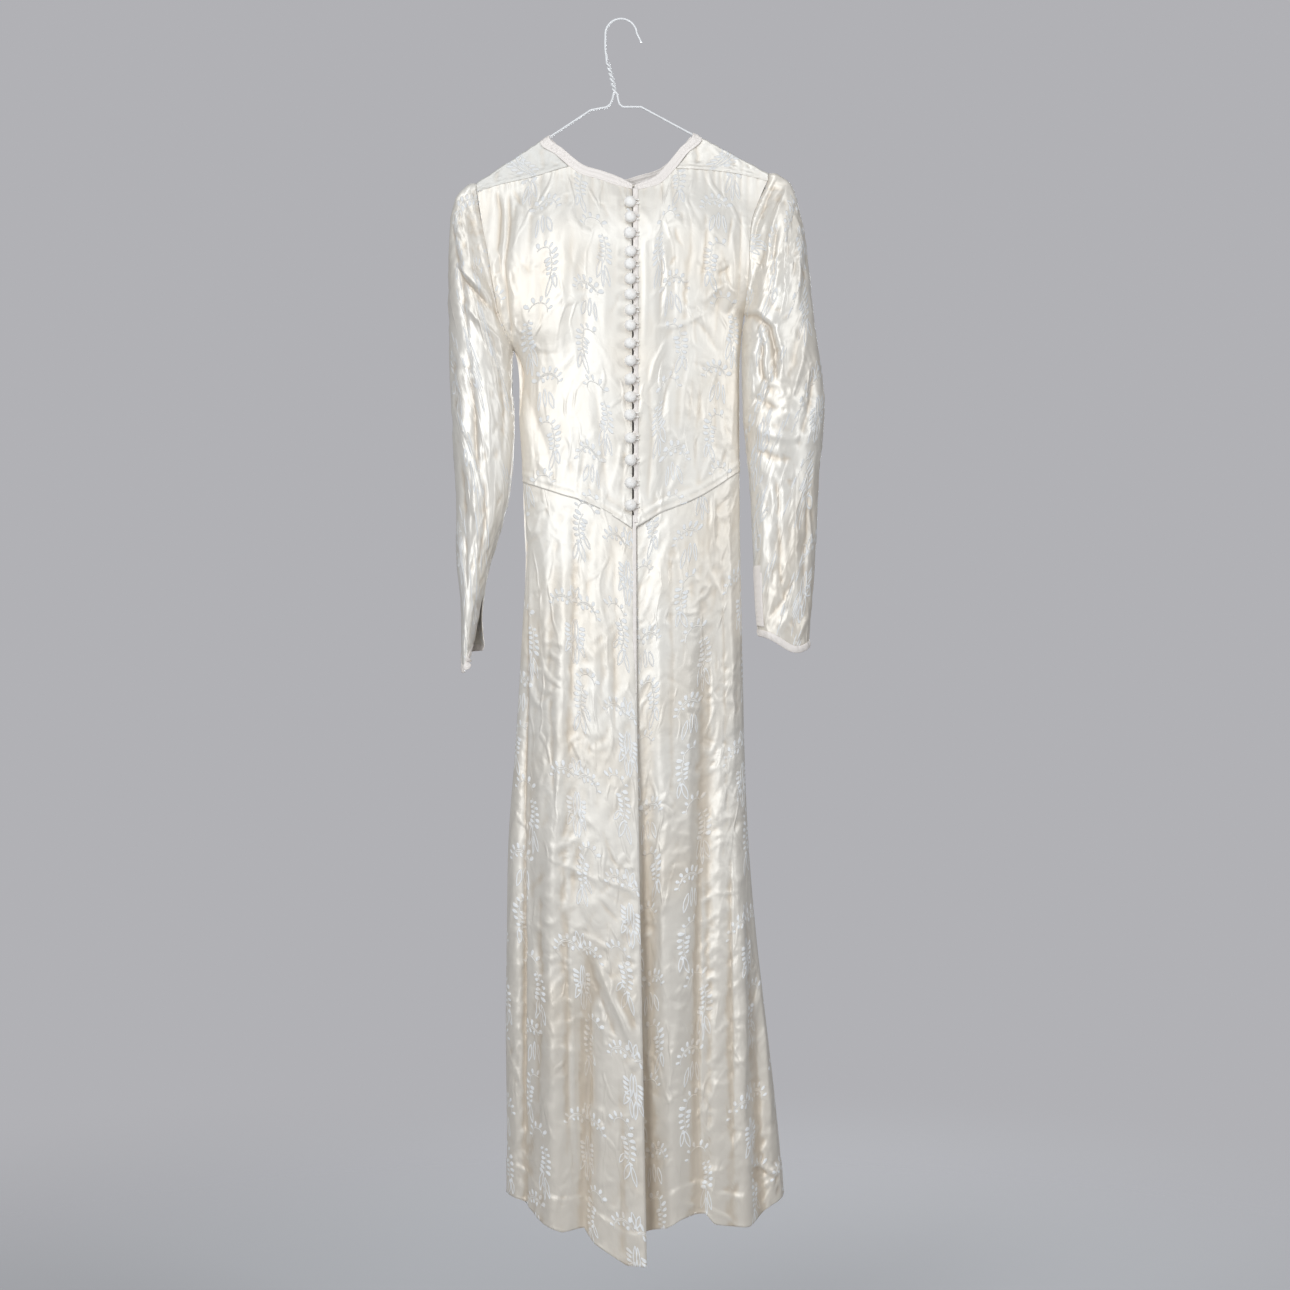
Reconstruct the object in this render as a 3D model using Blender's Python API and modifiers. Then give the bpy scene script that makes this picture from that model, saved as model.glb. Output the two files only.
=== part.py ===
"""A floor-length satin wedding dress that hangs on a white wire hanger, buttoned back outwards.

All sizes are in metres. +Z is up, -Y is towards someone who looks at the buttoned back, and +X is
to that person's right. The origin is the hook's resting point, inside its crown. "Drop" is the
distance below that point, so a point's height is minus its drop. Left and right are that
person's, too.
"""
import math
from collections import namedtuple

import bpy
import numpy as np

# Cloth and seams
CLOTH = 0.0010
SEAM_GAP = 0.0003
SIDE_SEAM = CLOTH + SEAM_GAP
WAIST_SEAM = 0.0013
ARMHOLE_SEAM = 0.0019
ON_TOP = 0.0015
LIFT = 0.0006

# The wire hanger, one length of wire
WIRE_RADIUS = 0.0015
HOOK_RADIUS = 0.0205
TWIST_RADIUS = 0.00175
TWIST_TURNS = 2.5
TWIST_TOP = (-0.0170, 0.0560)
TWIST_FOOT = (-0.0088, 0.0900)
LEFT_ELBOW = (-0.0390, 0.1170)
RIGHT_ELBOW = (0.0260, 0.1131)
LEFT_SLOPE = math.radians(33.3)
RIGHT_SLOPE = math.radians(28.3)
LEFT_ARM_END = -0.1790
RIGHT_ARM_END = 0.1680
END_LOOP_RADIUS = 0.0130

# Where the cloth folds over the wire
COVER = WIRE_RADIUS + SEAM_GAP + CLOTH / 2
NECK_HALF_WIDTH = 0.0930
SHOULDER_FALL = 0.060
CHEST_FALL = 0.150

# The buttoned opening down the back
OPENING_LEFT = 0.0147
OPENING_RIGHT = 0.0175
BUTTON_COUNT = 18
BUTTON_X = 0.0122
ButtonPlace = namedtuple("ButtonPlace", "number drop")
BUTTON_PLACES = (       # sewn by hand: closer at the neck than at the waist; evenly between these
    ButtonPlace(1, 0.2415),
    ButtonPlace(3, 0.2850),
    ButtonPlace(4, 0.3085),
    ButtonPlace(5, 0.3245),
    ButtonPlace(9, 0.4030),
    ButtonPlace(14, 0.5175),
    ButtonPlace(18, 0.6335),
)
BUTTON_STEPS = 12
LOOP_RADIUS = 0.0008
LOOP_ROUND = 0.0031
LOOP_LENGTH = 0.0115

# The skirt's lapped fold below the opening
UNDERLAP = 0.0120
FOLD_RISE = 0.0340
BINDING_WIDTH = 0.0050
BINDING_FOOT = 0.8750

# The wrists
CUFF_WIDTH = 0.0065
CUFF_GAP = 0.0012

Section = namedtuple("Section", "drop left right back front")
BODY = (
    Section(0.150, -0.2350, 0.2350, 0.030, 0.022),
    Section(0.225, -0.2350, 0.2300, 0.036, 0.028),
    Section(0.300, -0.2120, 0.2010, 0.041, 0.033),
    Section(0.345, -0.1950, 0.1840, 0.042, 0.035),
    Section(0.382, -0.1775, 0.1600, 0.042, 0.035),
    Section(0.403, -0.1640, 0.1570, 0.041, 0.034),
    Section(0.429, -0.1391, 0.1548, 0.040, 0.033),
    Section(0.530, -0.1315, 0.1535, 0.037, 0.029),
    Section(0.600, -0.1270, 0.1538, 0.035, 0.026),
    Section(0.690, -0.1215, 0.1550, 0.040, 0.031),
    Section(0.750, -0.1255, 0.1560, 0.044, 0.034),
    Section(0.850, -0.1313, 0.1580, 0.047, 0.037),
    Section(0.955, -0.1378, 0.1604, 0.050, 0.040),
    Section(1.055, -0.1455, 0.1645, 0.053, 0.043),
    Section(1.190, -0.1482, 0.1755, 0.056, 0.047),
    Section(1.315, -0.1495, 0.1898, 0.059, 0.050),
    Section(1.404, -0.1484, 0.2000, 0.061, 0.052),
    Section(1.521, -0.1475, 0.2100, 0.063, 0.054),
    Section(1.610, -0.1470, 0.2120, 0.064, 0.055),
)

# The lapped fold: the x of its edge, how far the left panel turns under, how deep the right lies
Lap = namedtuple("Lap", "drop edge lip recess")
LAPS = (
    Lap(0.640, 0.0195, 0.0010, 0.0024),
    Lap(0.870, 0.0205, 0.0020, 0.0060),
    Lap(1.100, 0.0240, 0.0070, 0.0150),
    Lap(1.350, 0.0285, 0.0110, 0.0220),
    Lap(1.610, 0.0335, 0.0120, 0.0260),
)

# Standing folds (depth above 0) and hollows (below 0) that run down a sheet
Fold = namedtuple("Fold", "sheet top_x top_drop foot_x foot_drop half_width depth")
FOLDS = (
    Fold("back", -0.1190, 0.740, -0.1210, 1.700, 0.010, -0.008),
    Fold("back", -0.0680, 0.640, -0.0900, 1.150, 0.012, 0.006),
    Fold("back", -0.0400, 1.150, -0.0470, 1.700, 0.014, -0.012),
    Fold("back", -0.0850, 1.200, -0.0780, 1.700, 0.018, 0.007),
    Fold("back", 0.1180, 0.620, 0.0930, 1.700, 0.017, -0.013),
    Fold("back", 0.1500, 0.950, 0.1620, 1.700, 0.011, 0.010),
    Fold("back", 0.1640, 1.150, 0.1880, 1.700, 0.010, -0.010),
    Fold("front", -0.0900, 0.680, -0.1050, 1.700, 0.016, -0.010),
    Fold("front", -0.0350, 0.800, -0.0450, 1.700, 0.018, 0.008),
    Fold("front", 0.0250, 0.700, 0.0350, 1.700, 0.016, -0.011),
    Fold("front", 0.0900, 0.850, 0.1150, 1.700, 0.018, 0.009),
    Fold("front", 0.1350, 1.000, 0.1650, 1.700, 0.012, -0.009),
)

# The neck binding: its rim, and the seam along its other side
Edge = namedtuple("Edge", "rim_x rim_drop seam_x seam_drop")
NECK_BACK_LEFT = (
    Edge(0.0147, 0.2163, 0.0147, 0.2227),
    Edge(-0.0039, 0.2059, -0.0070, 0.2160),
    Edge(-0.0255, 0.1976, -0.0292, 0.2078),
    Edge(-0.0494, 0.1895, -0.0548, 0.1990),
    Edge(-0.0602, 0.1814, -0.0675, 0.1893),
    Edge(-0.0748, 0.1685, -0.0828, 0.1757),
)
NECK_BACK_RIGHT = (
    Edge(0.0175, 0.2180, 0.0175, 0.2245),
    Edge(0.0442, 0.2054, 0.0490, 0.2148),
    Edge(0.0611, 0.1870, 0.0705, 0.1925),
    Edge(0.0765, 0.1675, 0.0852, 0.1735),
)
NECK_FRONT = (
    Edge(-0.0700, 0.1745, -0.0780, 0.1815),
    Edge(-0.0400, 0.1965, -0.0448, 0.2060),
    Edge(-0.0040, 0.2068, -0.0052, 0.2172),
    Edge(0.0250, 0.2000, 0.0285, 0.2100),
    Edge(0.0494, 0.1926, 0.0560, 0.2008),
    Edge(0.0700, 0.1760, 0.0785, 0.1820),
)
NECK_SEAM_AT_SHOULDER = 0.1035

# Seams as points of x and drop
YOKE_LEFT_BACK = ((-0.0681, 0.1896), (-0.1183, 0.2041), (-0.1573, 0.2122), (-0.1874, 0.2215))
YOKE_RIGHT_BACK = ((0.0711, 0.1928), (0.1027, 0.1937), (0.1547, 0.1989), (0.1908, 0.2075))
YOKE_LEFT_FRONT = ((-0.0787, 0.1818), (-0.1180, 0.2040), (-0.1560, 0.2215), (-0.1851, 0.2360))
YOKE_RIGHT_FRONT = ((0.0792, 0.1823), (0.1180, 0.1975), (0.1560, 0.2080), (0.1857, 0.2200))
ARMHOLE_LEFT = (
    (-0.1880, 0.2124), (-0.1872, 0.2236), (-0.1794, 0.2704), (-0.1694, 0.3185),
    (-0.1630, 0.3614), (-0.1525, 0.4000), (-0.1391, 0.4290),
)
ARMHOLE_RIGHT = (
    (0.1915, 0.1995), (0.1905, 0.2090), (0.1795, 0.2340), (0.1700, 0.2600),
    (0.1660, 0.2950), (0.1645, 0.3400), (0.1600, 0.3820),
)
SIDE_LEFT = ((-0.1391, 0.4290), (-0.1315, 0.5300), (-0.1270, 0.5987))
SIDE_RIGHT = ((0.1600, 0.3820), (0.1570, 0.4030), (0.1548, 0.4290), (0.1535, 0.5300), (0.1538, 0.5845))
WAIST_BACK_LEFT = (
    (-0.1270, 0.5987), (-0.0811, 0.6149), (-0.0446, 0.6266), (-0.0117, 0.6435), (0.0195, 0.6640),
)
WAIST_BACK_RIGHT = (
    (0.0075, 0.6650), (0.0221, 0.6578), (0.0481, 0.6418), (0.0845, 0.6273), (0.1066, 0.6162),
    (0.1538, 0.5845),
)
WAIST_FRONT = ((-0.1270, 0.5987), (-0.0600, 0.6200), (0.0147, 0.6380), (0.0900, 0.6160), (0.1538, 0.5845))

# Hems, as the drop at each fraction of the way across a panel
HEM_BACK_LEFT = (
    (0.00, 1.5214), (0.14, 1.5290), (0.26, 1.5490), (0.40, 1.5600), (0.56, 1.5570), (0.64, 1.5750),
    (0.86, 1.6020), (1.00, 1.6040),
)
HEM_BACK_RIGHT = (
    (0.00, 1.5680), (0.20, 1.5570), (0.29, 1.5450), (0.47, 1.5390), (0.52, 1.5510), (0.75, 1.5550),
    (0.83, 1.5450), (1.00, 1.5225),
)
HEM_FRONT = ((0.00, 1.5214), (0.20, 1.5280), (0.50, 1.5340), (0.80, 1.5300), (1.00, 1.5225))

# Sleeves, from the shoulder to the wrist: the outer and the inner edge, and half the depth between
Ring = namedtuple("Ring", "outer_x outer_drop inner_x inner_drop half_depth")
SLEEVE_LEFT = (
    Ring(-0.1880, 0.2124, -0.1391, 0.4290, 0.030),
    Ring(-0.2145, 0.2330, -0.1404, 0.4310, 0.034),
    Ring(-0.2230, 0.2990, -0.1410, 0.4370, 0.038),
    Ring(-0.2236, 0.3640, -0.1417, 0.4450, 0.038),
    Ring(-0.2223, 0.4420, -0.1415, 0.4780, 0.036),
    Ring(-0.2184, 0.5330, -0.1390, 0.5360, 0.034),
    Ring(-0.2145, 0.6240, -0.1469, 0.6240, 0.032),
    Ring(-0.2132, 0.7020, -0.1690, 0.7020, 0.032),
    Ring(-0.2080, 0.7566, -0.1827, 0.7580, 0.034),
    Ring(-0.2074, 0.8034, -0.1890, 0.8000, 0.036),
    Ring(-0.2067, 0.8180, -0.1925, 0.8120, 0.036),
)
SLEEVE_RIGHT = (
    Ring(0.1915, 0.1995, 0.1600, 0.3820, 0.030),
    Ring(0.2190, 0.2130, 0.1619, 0.3850, 0.034),
    Ring(0.2340, 0.2600, 0.1612, 0.3930, 0.038),
    Ring(0.2431, 0.3146, 0.1590, 0.4040, 0.040),
    Ring(0.2522, 0.4030, 0.1575, 0.4320, 0.040),
    Ring(0.2613, 0.4745, 0.1573, 0.4810, 0.038),
    Ring(0.2639, 0.5200, 0.1590, 0.5265, 0.037),
    Ring(0.2561, 0.5954, 0.1671, 0.6006, 0.033),
    Ring(0.2529, 0.6825, 0.1716, 0.6825, 0.028),
    Ring(0.2470, 0.7540, 0.1749, 0.7540, 0.024),
    Ring(0.2438, 0.8060, 0.1781, 0.7930, 0.022),
)
# The pointed wrist: how far its point falls, where it is round the ring, and how wide
Point = namedtuple("Point", "fall place half_width")
POINT_LEFT = Point(0.0250, 0.70, 0.130)
POINT_RIGHT = Point(0.0125, 0.68, 0.110)
SLIT_TOP = 0.74
SLIT_SPREAD = 0.0140

# Where the columns and rows of the faceted sheets lie
ACROSS_HALF = (0.0, 0.012, 0.045, 0.10, 0.18, 0.28, 0.39, 0.50, 0.61, 0.71, 0.80, 0.89, 0.96, 1.0)
ACROSS_FULL = (0.0, 0.006, 0.024, 0.06, 0.11, 0.18, 0.26, 0.34, 0.42, 0.50, 0.58, 0.66, 0.74, 0.82,
               0.89, 0.94, 0.976, 0.994, 1.0)
NEAR_SIDE = (0.012, 0.045)
LIP_COLUMNS = (0.25, 0.60, 1.0)
DOWN_SKIRT = 13
TOP_ROWS = (0.03, 0.075)
WIDEST_STEP = 0.10
LEAST_STEP = 0.018
SLEEVE_COLUMNS = 20
SLEEVE_ROWS = (0.0, 0.05, 0.11, 0.18, 0.26, 0.36, 0.46, 0.56, 0.65, 0.74, 0.82, 0.89, 0.95, 1.0)
OVER_WIRE = (0.0, 0.30, 0.68, 1.0)
DOWN_YOKE = (0.35, 1.0)


def smoothstep(amount):
    """0 below 0, 1 above 1, and an eased rise between."""
    amount = np.clip(amount, 0.0, 1.0)
    return amount * amount * (3.0 - 2.0 * amount)


def smooth_through(keys, values, at):
    """The value at each place on a smooth curve through the values at the keys."""
    keys = np.asarray(keys, float)
    values = np.asarray(values, float)
    slopes = np.gradient(values, keys)
    at = np.clip(np.asarray(at, float), keys[0], keys[-1])
    row = np.clip(np.searchsorted(keys, at, side="right") - 1, 0, len(keys) - 2)
    span = keys[row + 1] - keys[row]
    t = (at - keys[row]) / span
    start = values[row] * (1 + 2 * t) * (1 - t) ** 2 + slopes[row] * span * t * (1 - t) ** 2
    end = values[row + 1] * t * t * (3 - 2 * t) + slopes[row + 1] * span * t * t * (t - 1)
    return start + end


def column(table, name, at):
    """One named column of a table, read on a smooth curve at its first column's value."""
    return smooth_through([row[0] for row in table], [getattr(row, name) for row in table], at)


def corner_fractions(points):
    """How far along the seam each of its points lies, from 0 to 1."""
    steps = np.linalg.norm(np.diff(np.asarray(points, float), axis=0), axis=1)
    keys = np.concatenate([[0.0], np.cumsum(steps)])
    return keys / keys[-1]


def well_spread(places):
    """The places in order, with none nearly doubled and no step between them too wide."""
    chosen = [0.0]
    for place in sorted(places):
        if place - chosen[-1] < LEAST_STEP:
            continue
        steps = math.ceil((place - chosen[-1]) / WIDEST_STEP)
        chosen += list(np.linspace(chosen[-1], place, steps + 1)[1:])
    chosen[-1] = 1.0
    return chosen


def along(points, fraction):
    """The point this fraction of the way along a seam, straight between its points."""
    points = np.asarray(points, float)
    keys = corner_fractions(points)
    return np.stack([np.interp(fraction, keys, points[:, i]) for i in range(2)], axis=-1)


def shoulder_drop(x):
    """The drop of the line where cloth folds over the wire arms; level across the neck."""
    left = LEFT_ELBOW[1] + (LEFT_ELBOW[0] - np.minimum(x, -NECK_HALF_WIDTH)) * math.tan(LEFT_SLOPE)
    right = RIGHT_ELBOW[1] + (np.maximum(x, NECK_HALF_WIDTH) - RIGHT_ELBOW[0]) * math.tan(RIGHT_SLOPE)
    left = left - COVER / math.cos(LEFT_SLOPE)
    right = right - COVER / math.cos(RIGHT_SLOPE)
    side = smoothstep((x + NECK_HALF_WIDTH) / (2 * NECK_HALF_WIDTH))
    return left * (1 - side) + right * side


def body_depth(x, drop, sheet):
    """How far the back or front sheet stands from the hanger's plane."""
    left = column(BODY, "left", drop)
    right = column(BODY, "right", drop)
    across = np.clip((2 * x - left - right) / (right - left), -1.0, 1.0)
    round_side = np.sqrt(np.clip(1.0 - np.abs(across) ** 2.4, 0.0, 1.0))
    below = drop - shoulder_drop(x)
    over_wire = np.sin(np.clip(below / COVER, 0.0, 1.0) * math.pi / 2)
    near_wire = COVER * (1 - smoothstep(below / SHOULDER_FALL))
    hanging = column(BODY, sheet, drop) * round_side * smoothstep(below / CHEST_FALL)
    return over_wire * (SIDE_SEAM / 2 + near_wire + hanging)


FOLD_START = 0.35       # the share of a fold's length over which it rises
FOLD_FADE = 0.012       # folds die away where the sheet comes this near the side seams


def fold_height(x, drop, sheet):
    """The sum of the sheet's standing folds and hollows."""
    total = np.zeros_like(x)
    for fold in FOLDS:
        if fold.sheet != sheet:
            continue
        t = (drop - fold.top_drop) / (fold.foot_drop - fold.top_drop)
        middle = fold.top_x + (fold.foot_x - fold.top_x) * np.clip(t, 0.0, 1.0)
        ease = smoothstep(t / FOLD_START)
        total = total + fold.depth * ease * np.exp(-(((x - middle) / fold.half_width) ** 2))
    return total


def sheet_point(x, drop, sheet):
    """The point of a sheet at this x and drop."""
    depth = body_depth(x, drop, sheet)
    fade = smoothstep(depth / FOLD_FADE)
    depth = depth + fold_height(x, drop, sheet) * fade
    side = -1.0 if sheet == "back" else 1.0
    return np.stack([x, side * depth, -drop], axis=-1)


def coons(top, foot, inner, outer, a, b):
    """Fills four seams: a runs from the inner to the outer one, b from the top to the foot."""
    a = a[..., None]
    b = b[..., None]
    level = (1 - b) * along(top, a[..., 0]) + b * along(foot, a[..., 0])
    upright = (1 - a) * along(inner, b[..., 0]) + a * along(outer, b[..., 0])
    first, last = np.asarray(top[0]), np.asarray(top[-1])
    low_first, low_last = np.asarray(foot[0]), np.asarray(foot[-1])
    corners = (1 - b) * ((1 - a) * first + a * last) + b * ((1 - a) * low_first + a * low_last)
    return level + upright - corners


def grid(columns, rows):
    """Two arrays, one row of cloth to a line, of the column and row fractions."""
    return np.meshgrid(np.asarray(columns, float), np.asarray(rows, float))


# Materials -------------------------------------------------------------------------------------

def make_material(name, colour, roughness, metallic):
    material = bpy.data.materials.new(name)
    material.use_nodes = True
    shader = material.node_tree.nodes["Principled BSDF"]
    shader.inputs["Base Color"].default_value = (*colour, 1.0)
    shader.inputs["Roughness"].default_value = roughness
    shader.inputs["Metallic"].default_value = metallic
    return material


# Making solids ---------------------------------------------------------------------------------

def add_object(name, data, material):
    thing = bpy.data.objects.new(name, data)
    thing.data.materials.append(material)
    dress.objects.link(thing)
    return thing


def add_sheet(name, points, material, outward):
    """A grid of points as an open surface, given the cloth's wall by Solidify."""
    rows, columns = points.shape[:2]
    faces = []
    for row in range(rows - 1):
        for place in range(columns - 1):
            corner = row * columns + place
            quad = (corner, corner + columns, corner + columns + 1, corner + 1)
            faces.append(quad if outward else quad[::-1])
    mesh = bpy.data.meshes.new(name)
    mesh.from_pydata([tuple(point) for point in points.reshape(-1, 3)], [], faces)
    mesh.shade_smooth()
    sheet = add_object(name, mesh, material)
    wall = sheet.modifiers.new("wall", "SOLIDIFY")
    wall.thickness = CLOTH
    wall.offset = 0.0
    return sheet


def moved_out(points, distance):
    """A grid of points moved along the surface's own normals."""
    down = np.gradient(points, axis=0)
    across = np.gradient(points, axis=1)
    normals = np.cross(across, down)
    normals = normals / np.linalg.norm(normals, axis=-1, keepdims=True)
    return points + normals * distance


def add_wire(name, points, radius, material, sides):
    """A round wire along the points, with closed ends."""
    path = bpy.data.curves.new(name, "CURVE")
    path.dimensions = "3D"
    path.bevel_depth = radius
    path.bevel_resolution = sides
    path.use_fill_caps = True
    spline = path.splines.new("POLY")
    spline.points.add(len(points) - 1)
    for place, point in zip(spline.points, points):
        place.co = (*point, 1.0)
    return add_object(name, path, material)


# The hanger ------------------------------------------------------------------------------------

def arc(centre, radius, start_degrees, end_degrees, count):
    """Points of x and drop on an arc; 0 degrees points right and 90 up."""
    angles = np.radians(np.linspace(start_degrees, end_degrees, count))
    return [(centre[0] + radius * math.cos(t), centre[1] - radius * math.sin(t)) for t in angles]


def strand(phase):
    """One strand of the twisted neck, from its top to its foot."""
    top = np.array(TWIST_TOP)
    foot = np.array(TWIST_FOOT)
    axis = (foot - top) / np.linalg.norm(foot - top)
    sideways = np.array([axis[1], -axis[0]])
    points = []
    for t in np.linspace(0.0, 1.0, 21):
        turn = phase + 2 * math.pi * TWIST_TURNS * t
        middle = top + (foot - top) * t
        place = middle + sideways * TWIST_RADIUS * math.cos(turn)
        points.append((place[0], TWIST_RADIUS * math.sin(turn), -place[1]))
    return points


def flat(points):
    """Points of x and drop, placed in the hanger's plane."""
    return [(x, 0.0, -drop) for x, drop in points]


def hanger_points():
    """The wire's middle line, from the hook's tip round the frame and back up the neck."""
    crown = (0.0, HOOK_RADIUS - WIRE_RADIUS)
    hook = [(0.0262, 0.0292), (0.0238, 0.0238)] + arc(crown, HOOK_RADIUS, 4, 186, 13)
    hook += [(-0.0206, 0.0300), (-0.0204, 0.0400), (-0.0192, 0.0480)]
    left_leg = [(-0.0098, 0.0960), (-0.0112, 0.1030), (-0.0140, 0.1095), (-0.0190, 0.1135), LEFT_ELBOW]
    right_leg = [(-0.0050, 0.0960), (-0.0038, 0.1040), (-0.0020, 0.1095), (0.0022, 0.1131), RIGHT_ELBOW]
    left_end = (LEFT_ARM_END, LEFT_ELBOW[1] + (LEFT_ELBOW[0] - LEFT_ARM_END) * math.tan(LEFT_SLOPE))
    right_end = (RIGHT_ARM_END, RIGHT_ELBOW[1] + (RIGHT_ARM_END - RIGHT_ELBOW[0]) * math.tan(RIGHT_SLOPE))
    left_middle = (left_end[0] + END_LOOP_RADIUS * math.sin(LEFT_SLOPE),
                   left_end[1] + END_LOOP_RADIUS * math.cos(LEFT_SLOPE))
    right_middle = (right_end[0] - END_LOOP_RADIUS * math.sin(RIGHT_SLOPE),
                    right_end[1] + END_LOOP_RADIUS * math.cos(RIGHT_SLOPE))
    left_loop = arc(left_middle, END_LOOP_RADIUS, 90 + math.degrees(LEFT_SLOPE), 272, 9)
    right_loop = arc(right_middle, END_LOOP_RADIUS, -88, 90 - math.degrees(RIGHT_SLOPE), 9)
    frame = flat(left_leg + left_loop + right_loop + right_leg[::-1])
    return flat(hook) + strand(math.pi) + frame + strand(0.0)[::-1]


# Bodice and yokes ------------------------------------------------------------------------------

def neck_seam(edges, outwards=0.0):
    """The binding's sewn side, as points of x and drop."""
    return [(edge.seam_x, edge.seam_drop + outwards) for edge in edges]


def armhole_and_side(armhole, side):
    return list(armhole) + list(side[1:])


START_GAP = 0.004       # seam points nearer to the start than this are left out


def part_of(seam, first_drop):
    """The stretch of an armhole below this drop, starting at it."""
    below = [point for point in seam if point[1] > first_drop + START_GAP]
    drops = [point[1] for point in seam]
    start = smooth_through(drops, [point[0] for point in seam], first_drop)
    return [(float(start), first_drop)] + below


def waist_drop(seam, x):
    return smooth_through([point[0] for point in seam], [point[1] for point in seam], x)


def waist_points(seam, first_x, last_x):
    """The waist seam between two values of x, for the bodice's foot."""
    places = np.linspace(first_x, last_x, 9)
    return [(x, float(waist_drop(seam, x)) - WAIST_SEAM) for x in places]


NECK_CORNER = 0.006     # the neck seam's points stop this far short of the yoke's corner


def bodice_back(left):
    """One half of the back bodice, from the opening to the armhole and side."""
    binding = NECK_BACK_LEFT if left else NECK_BACK_RIGHT
    yoke = YOKE_LEFT_BACK if left else YOKE_RIGHT_BACK
    armhole = ARMHOLE_LEFT if left else ARMHOLE_RIGHT
    side = SIDE_LEFT if left else SIDE_RIGHT
    seam = WAIST_BACK_LEFT if left else WAIST_BACK_RIGHT
    centre = OPENING_LEFT if left else OPENING_RIGHT
    widest = abs(yoke[0][0]) - NECK_CORNER
    neck = [point for point in neck_seam(binding, SEAM_GAP) if abs(point[0]) < widest]
    top = neck + [(x, drop + SEAM_GAP) for x, drop in yoke]
    outer = part_of(armhole_and_side(armhole, side), yoke[-1][1] + SEAM_GAP)
    top[-1] = outer[0]
    foot = waist_points(seam, centre, side[-1][0])
    outer[-1] = foot[-1]
    inner = [top[0], foot[0]]
    columns = sorted(set(corner_fractions(top)) | {1 - near for near in NEAR_SIDE})
    rows = well_spread([*corner_fractions(outer), *TOP_ROWS])
    a, b = grid(columns, rows)
    place = coons(top, foot, inner, outer, a, b)
    return sheet_point(place[..., 0], place[..., 1], "back")


def bodice_front():
    """The front bodice, from the left armhole and side to the right."""
    left_outer = part_of(armhole_and_side(ARMHOLE_LEFT, SIDE_LEFT), YOKE_LEFT_FRONT[-1][1] + SEAM_GAP)
    right_outer = part_of(armhole_and_side(ARMHOLE_RIGHT, SIDE_RIGHT), YOKE_RIGHT_FRONT[-1][1] + SEAM_GAP)
    left_yoke = [(x, drop + SEAM_GAP) for x, drop in YOKE_LEFT_FRONT]
    right_yoke = [(x, drop + SEAM_GAP) for x, drop in YOKE_RIGHT_FRONT]
    top = left_yoke[::-1] + neck_seam(NECK_FRONT, SEAM_GAP)[1:-1] + right_yoke
    top[0] = left_outer[0]
    top[-1] = right_outer[0]
    foot = waist_points(WAIST_FRONT, SIDE_LEFT[-1][0], SIDE_RIGHT[-1][0])
    left_outer[-1] = foot[0]
    right_outer[-1] = foot[-1]
    near = {near / 2 for near in NEAR_SIDE}
    columns = sorted(set(corner_fractions(top)) | near | {1 - place for place in near})
    rows = well_spread([*corner_fractions(left_outer), *corner_fractions(right_outer), *TOP_ROWS])
    a, b = grid(columns, rows)
    place = coons(top, foot, left_outer, right_outer, a, b)
    return sheet_point(place[..., 0], place[..., 1], "front")


def yoke(parts, left):
    """A yoke, a column for each point of its seams, from the back seam over the wire to the front."""
    seams = {"back": YOKE_LEFT_BACK if left else YOKE_RIGHT_BACK,
             "front": YOKE_LEFT_FRONT if left else YOKE_RIGHT_FRONT}
    armhole = ARMHOLE_LEFT if left else ARMHOLE_RIGHT
    neck_x = math.copysign(NECK_SEAM_AT_SHOULDER + SEAM_GAP, armhole[0][0])
    ridge_x = np.linspace(neck_x, armhole[0][0], len(YOKE_LEFT_BACK))
    ridge_drop = shoulder_drop(ridge_x)
    halves = []
    for sheet, seam in seams.items():
        foot_x, foot_drop = np.array(seam).T
        half = [sheet_point(ridge_x, ridge_drop + below * COVER, sheet) for below in OVER_WIRE]
        start = ridge_drop + COVER
        for part in parts:
            x = ridge_x + (foot_x - ridge_x) * part
            half.append(sheet_point(x, start + (foot_drop - start) * part, sheet))
        halves.append(half)
    return np.array(halves[0][::-1] + halves[1][1:])


# Neck binding ----------------------------------------------------------------------------------

def binding_strip(edges, sheet, shoulders):
    """A strip between the rim and the seam; shoulders adds ends at the folds over the wire."""
    rows = [sheet_strip_row(edge, sheet) for edge in edges]
    for side in shoulders:
        ends = shoulder_rows(side, sheet)
        rows = ends[::-1] + rows if (side < 0) == (edges[0].rim_x < edges[-1].rim_x) else rows + ends
    return np.array(rows)


def sheet_strip_row(edge, sheet):
    x = np.array([edge.rim_x, (edge.rim_x + edge.seam_x) / 2, edge.seam_x])
    drop = np.array([edge.rim_drop, (edge.rim_drop + edge.seam_drop) / 2, edge.seam_drop])
    return sheet_point(x, drop, sheet)


FRONT_INSET = 1.4 * COVER   # the front binding's last row stands in from the back one's
FRONT_BELOW = 2.2 * COVER   # and this far below the shoulder line


def shoulder_rows(side, sheet):
    """The binding's last rows: the back one passes over the wire, and the front one stops short."""
    from_centre = np.linspace(NECK_HALF_WIDTH, NECK_SEAM_AT_SHOULDER - SEAM_GAP, 3)
    if sheet == "front":
        x = side * (from_centre - FRONT_INSET)
        return [sheet_point(x, shoulder_drop(side * from_centre) + FRONT_BELOW, "front")]
    x = side * from_centre
    ridge = shoulder_drop(x)
    over_back = [sheet_point(x, ridge + below * COVER, "back") for below in OVER_WIRE[::-1]]
    return over_back + [sheet_point(x, ridge + below * COVER, "front") for below in OVER_WIRE[1:]]


# Skirt -----------------------------------------------------------------------------------------

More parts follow.
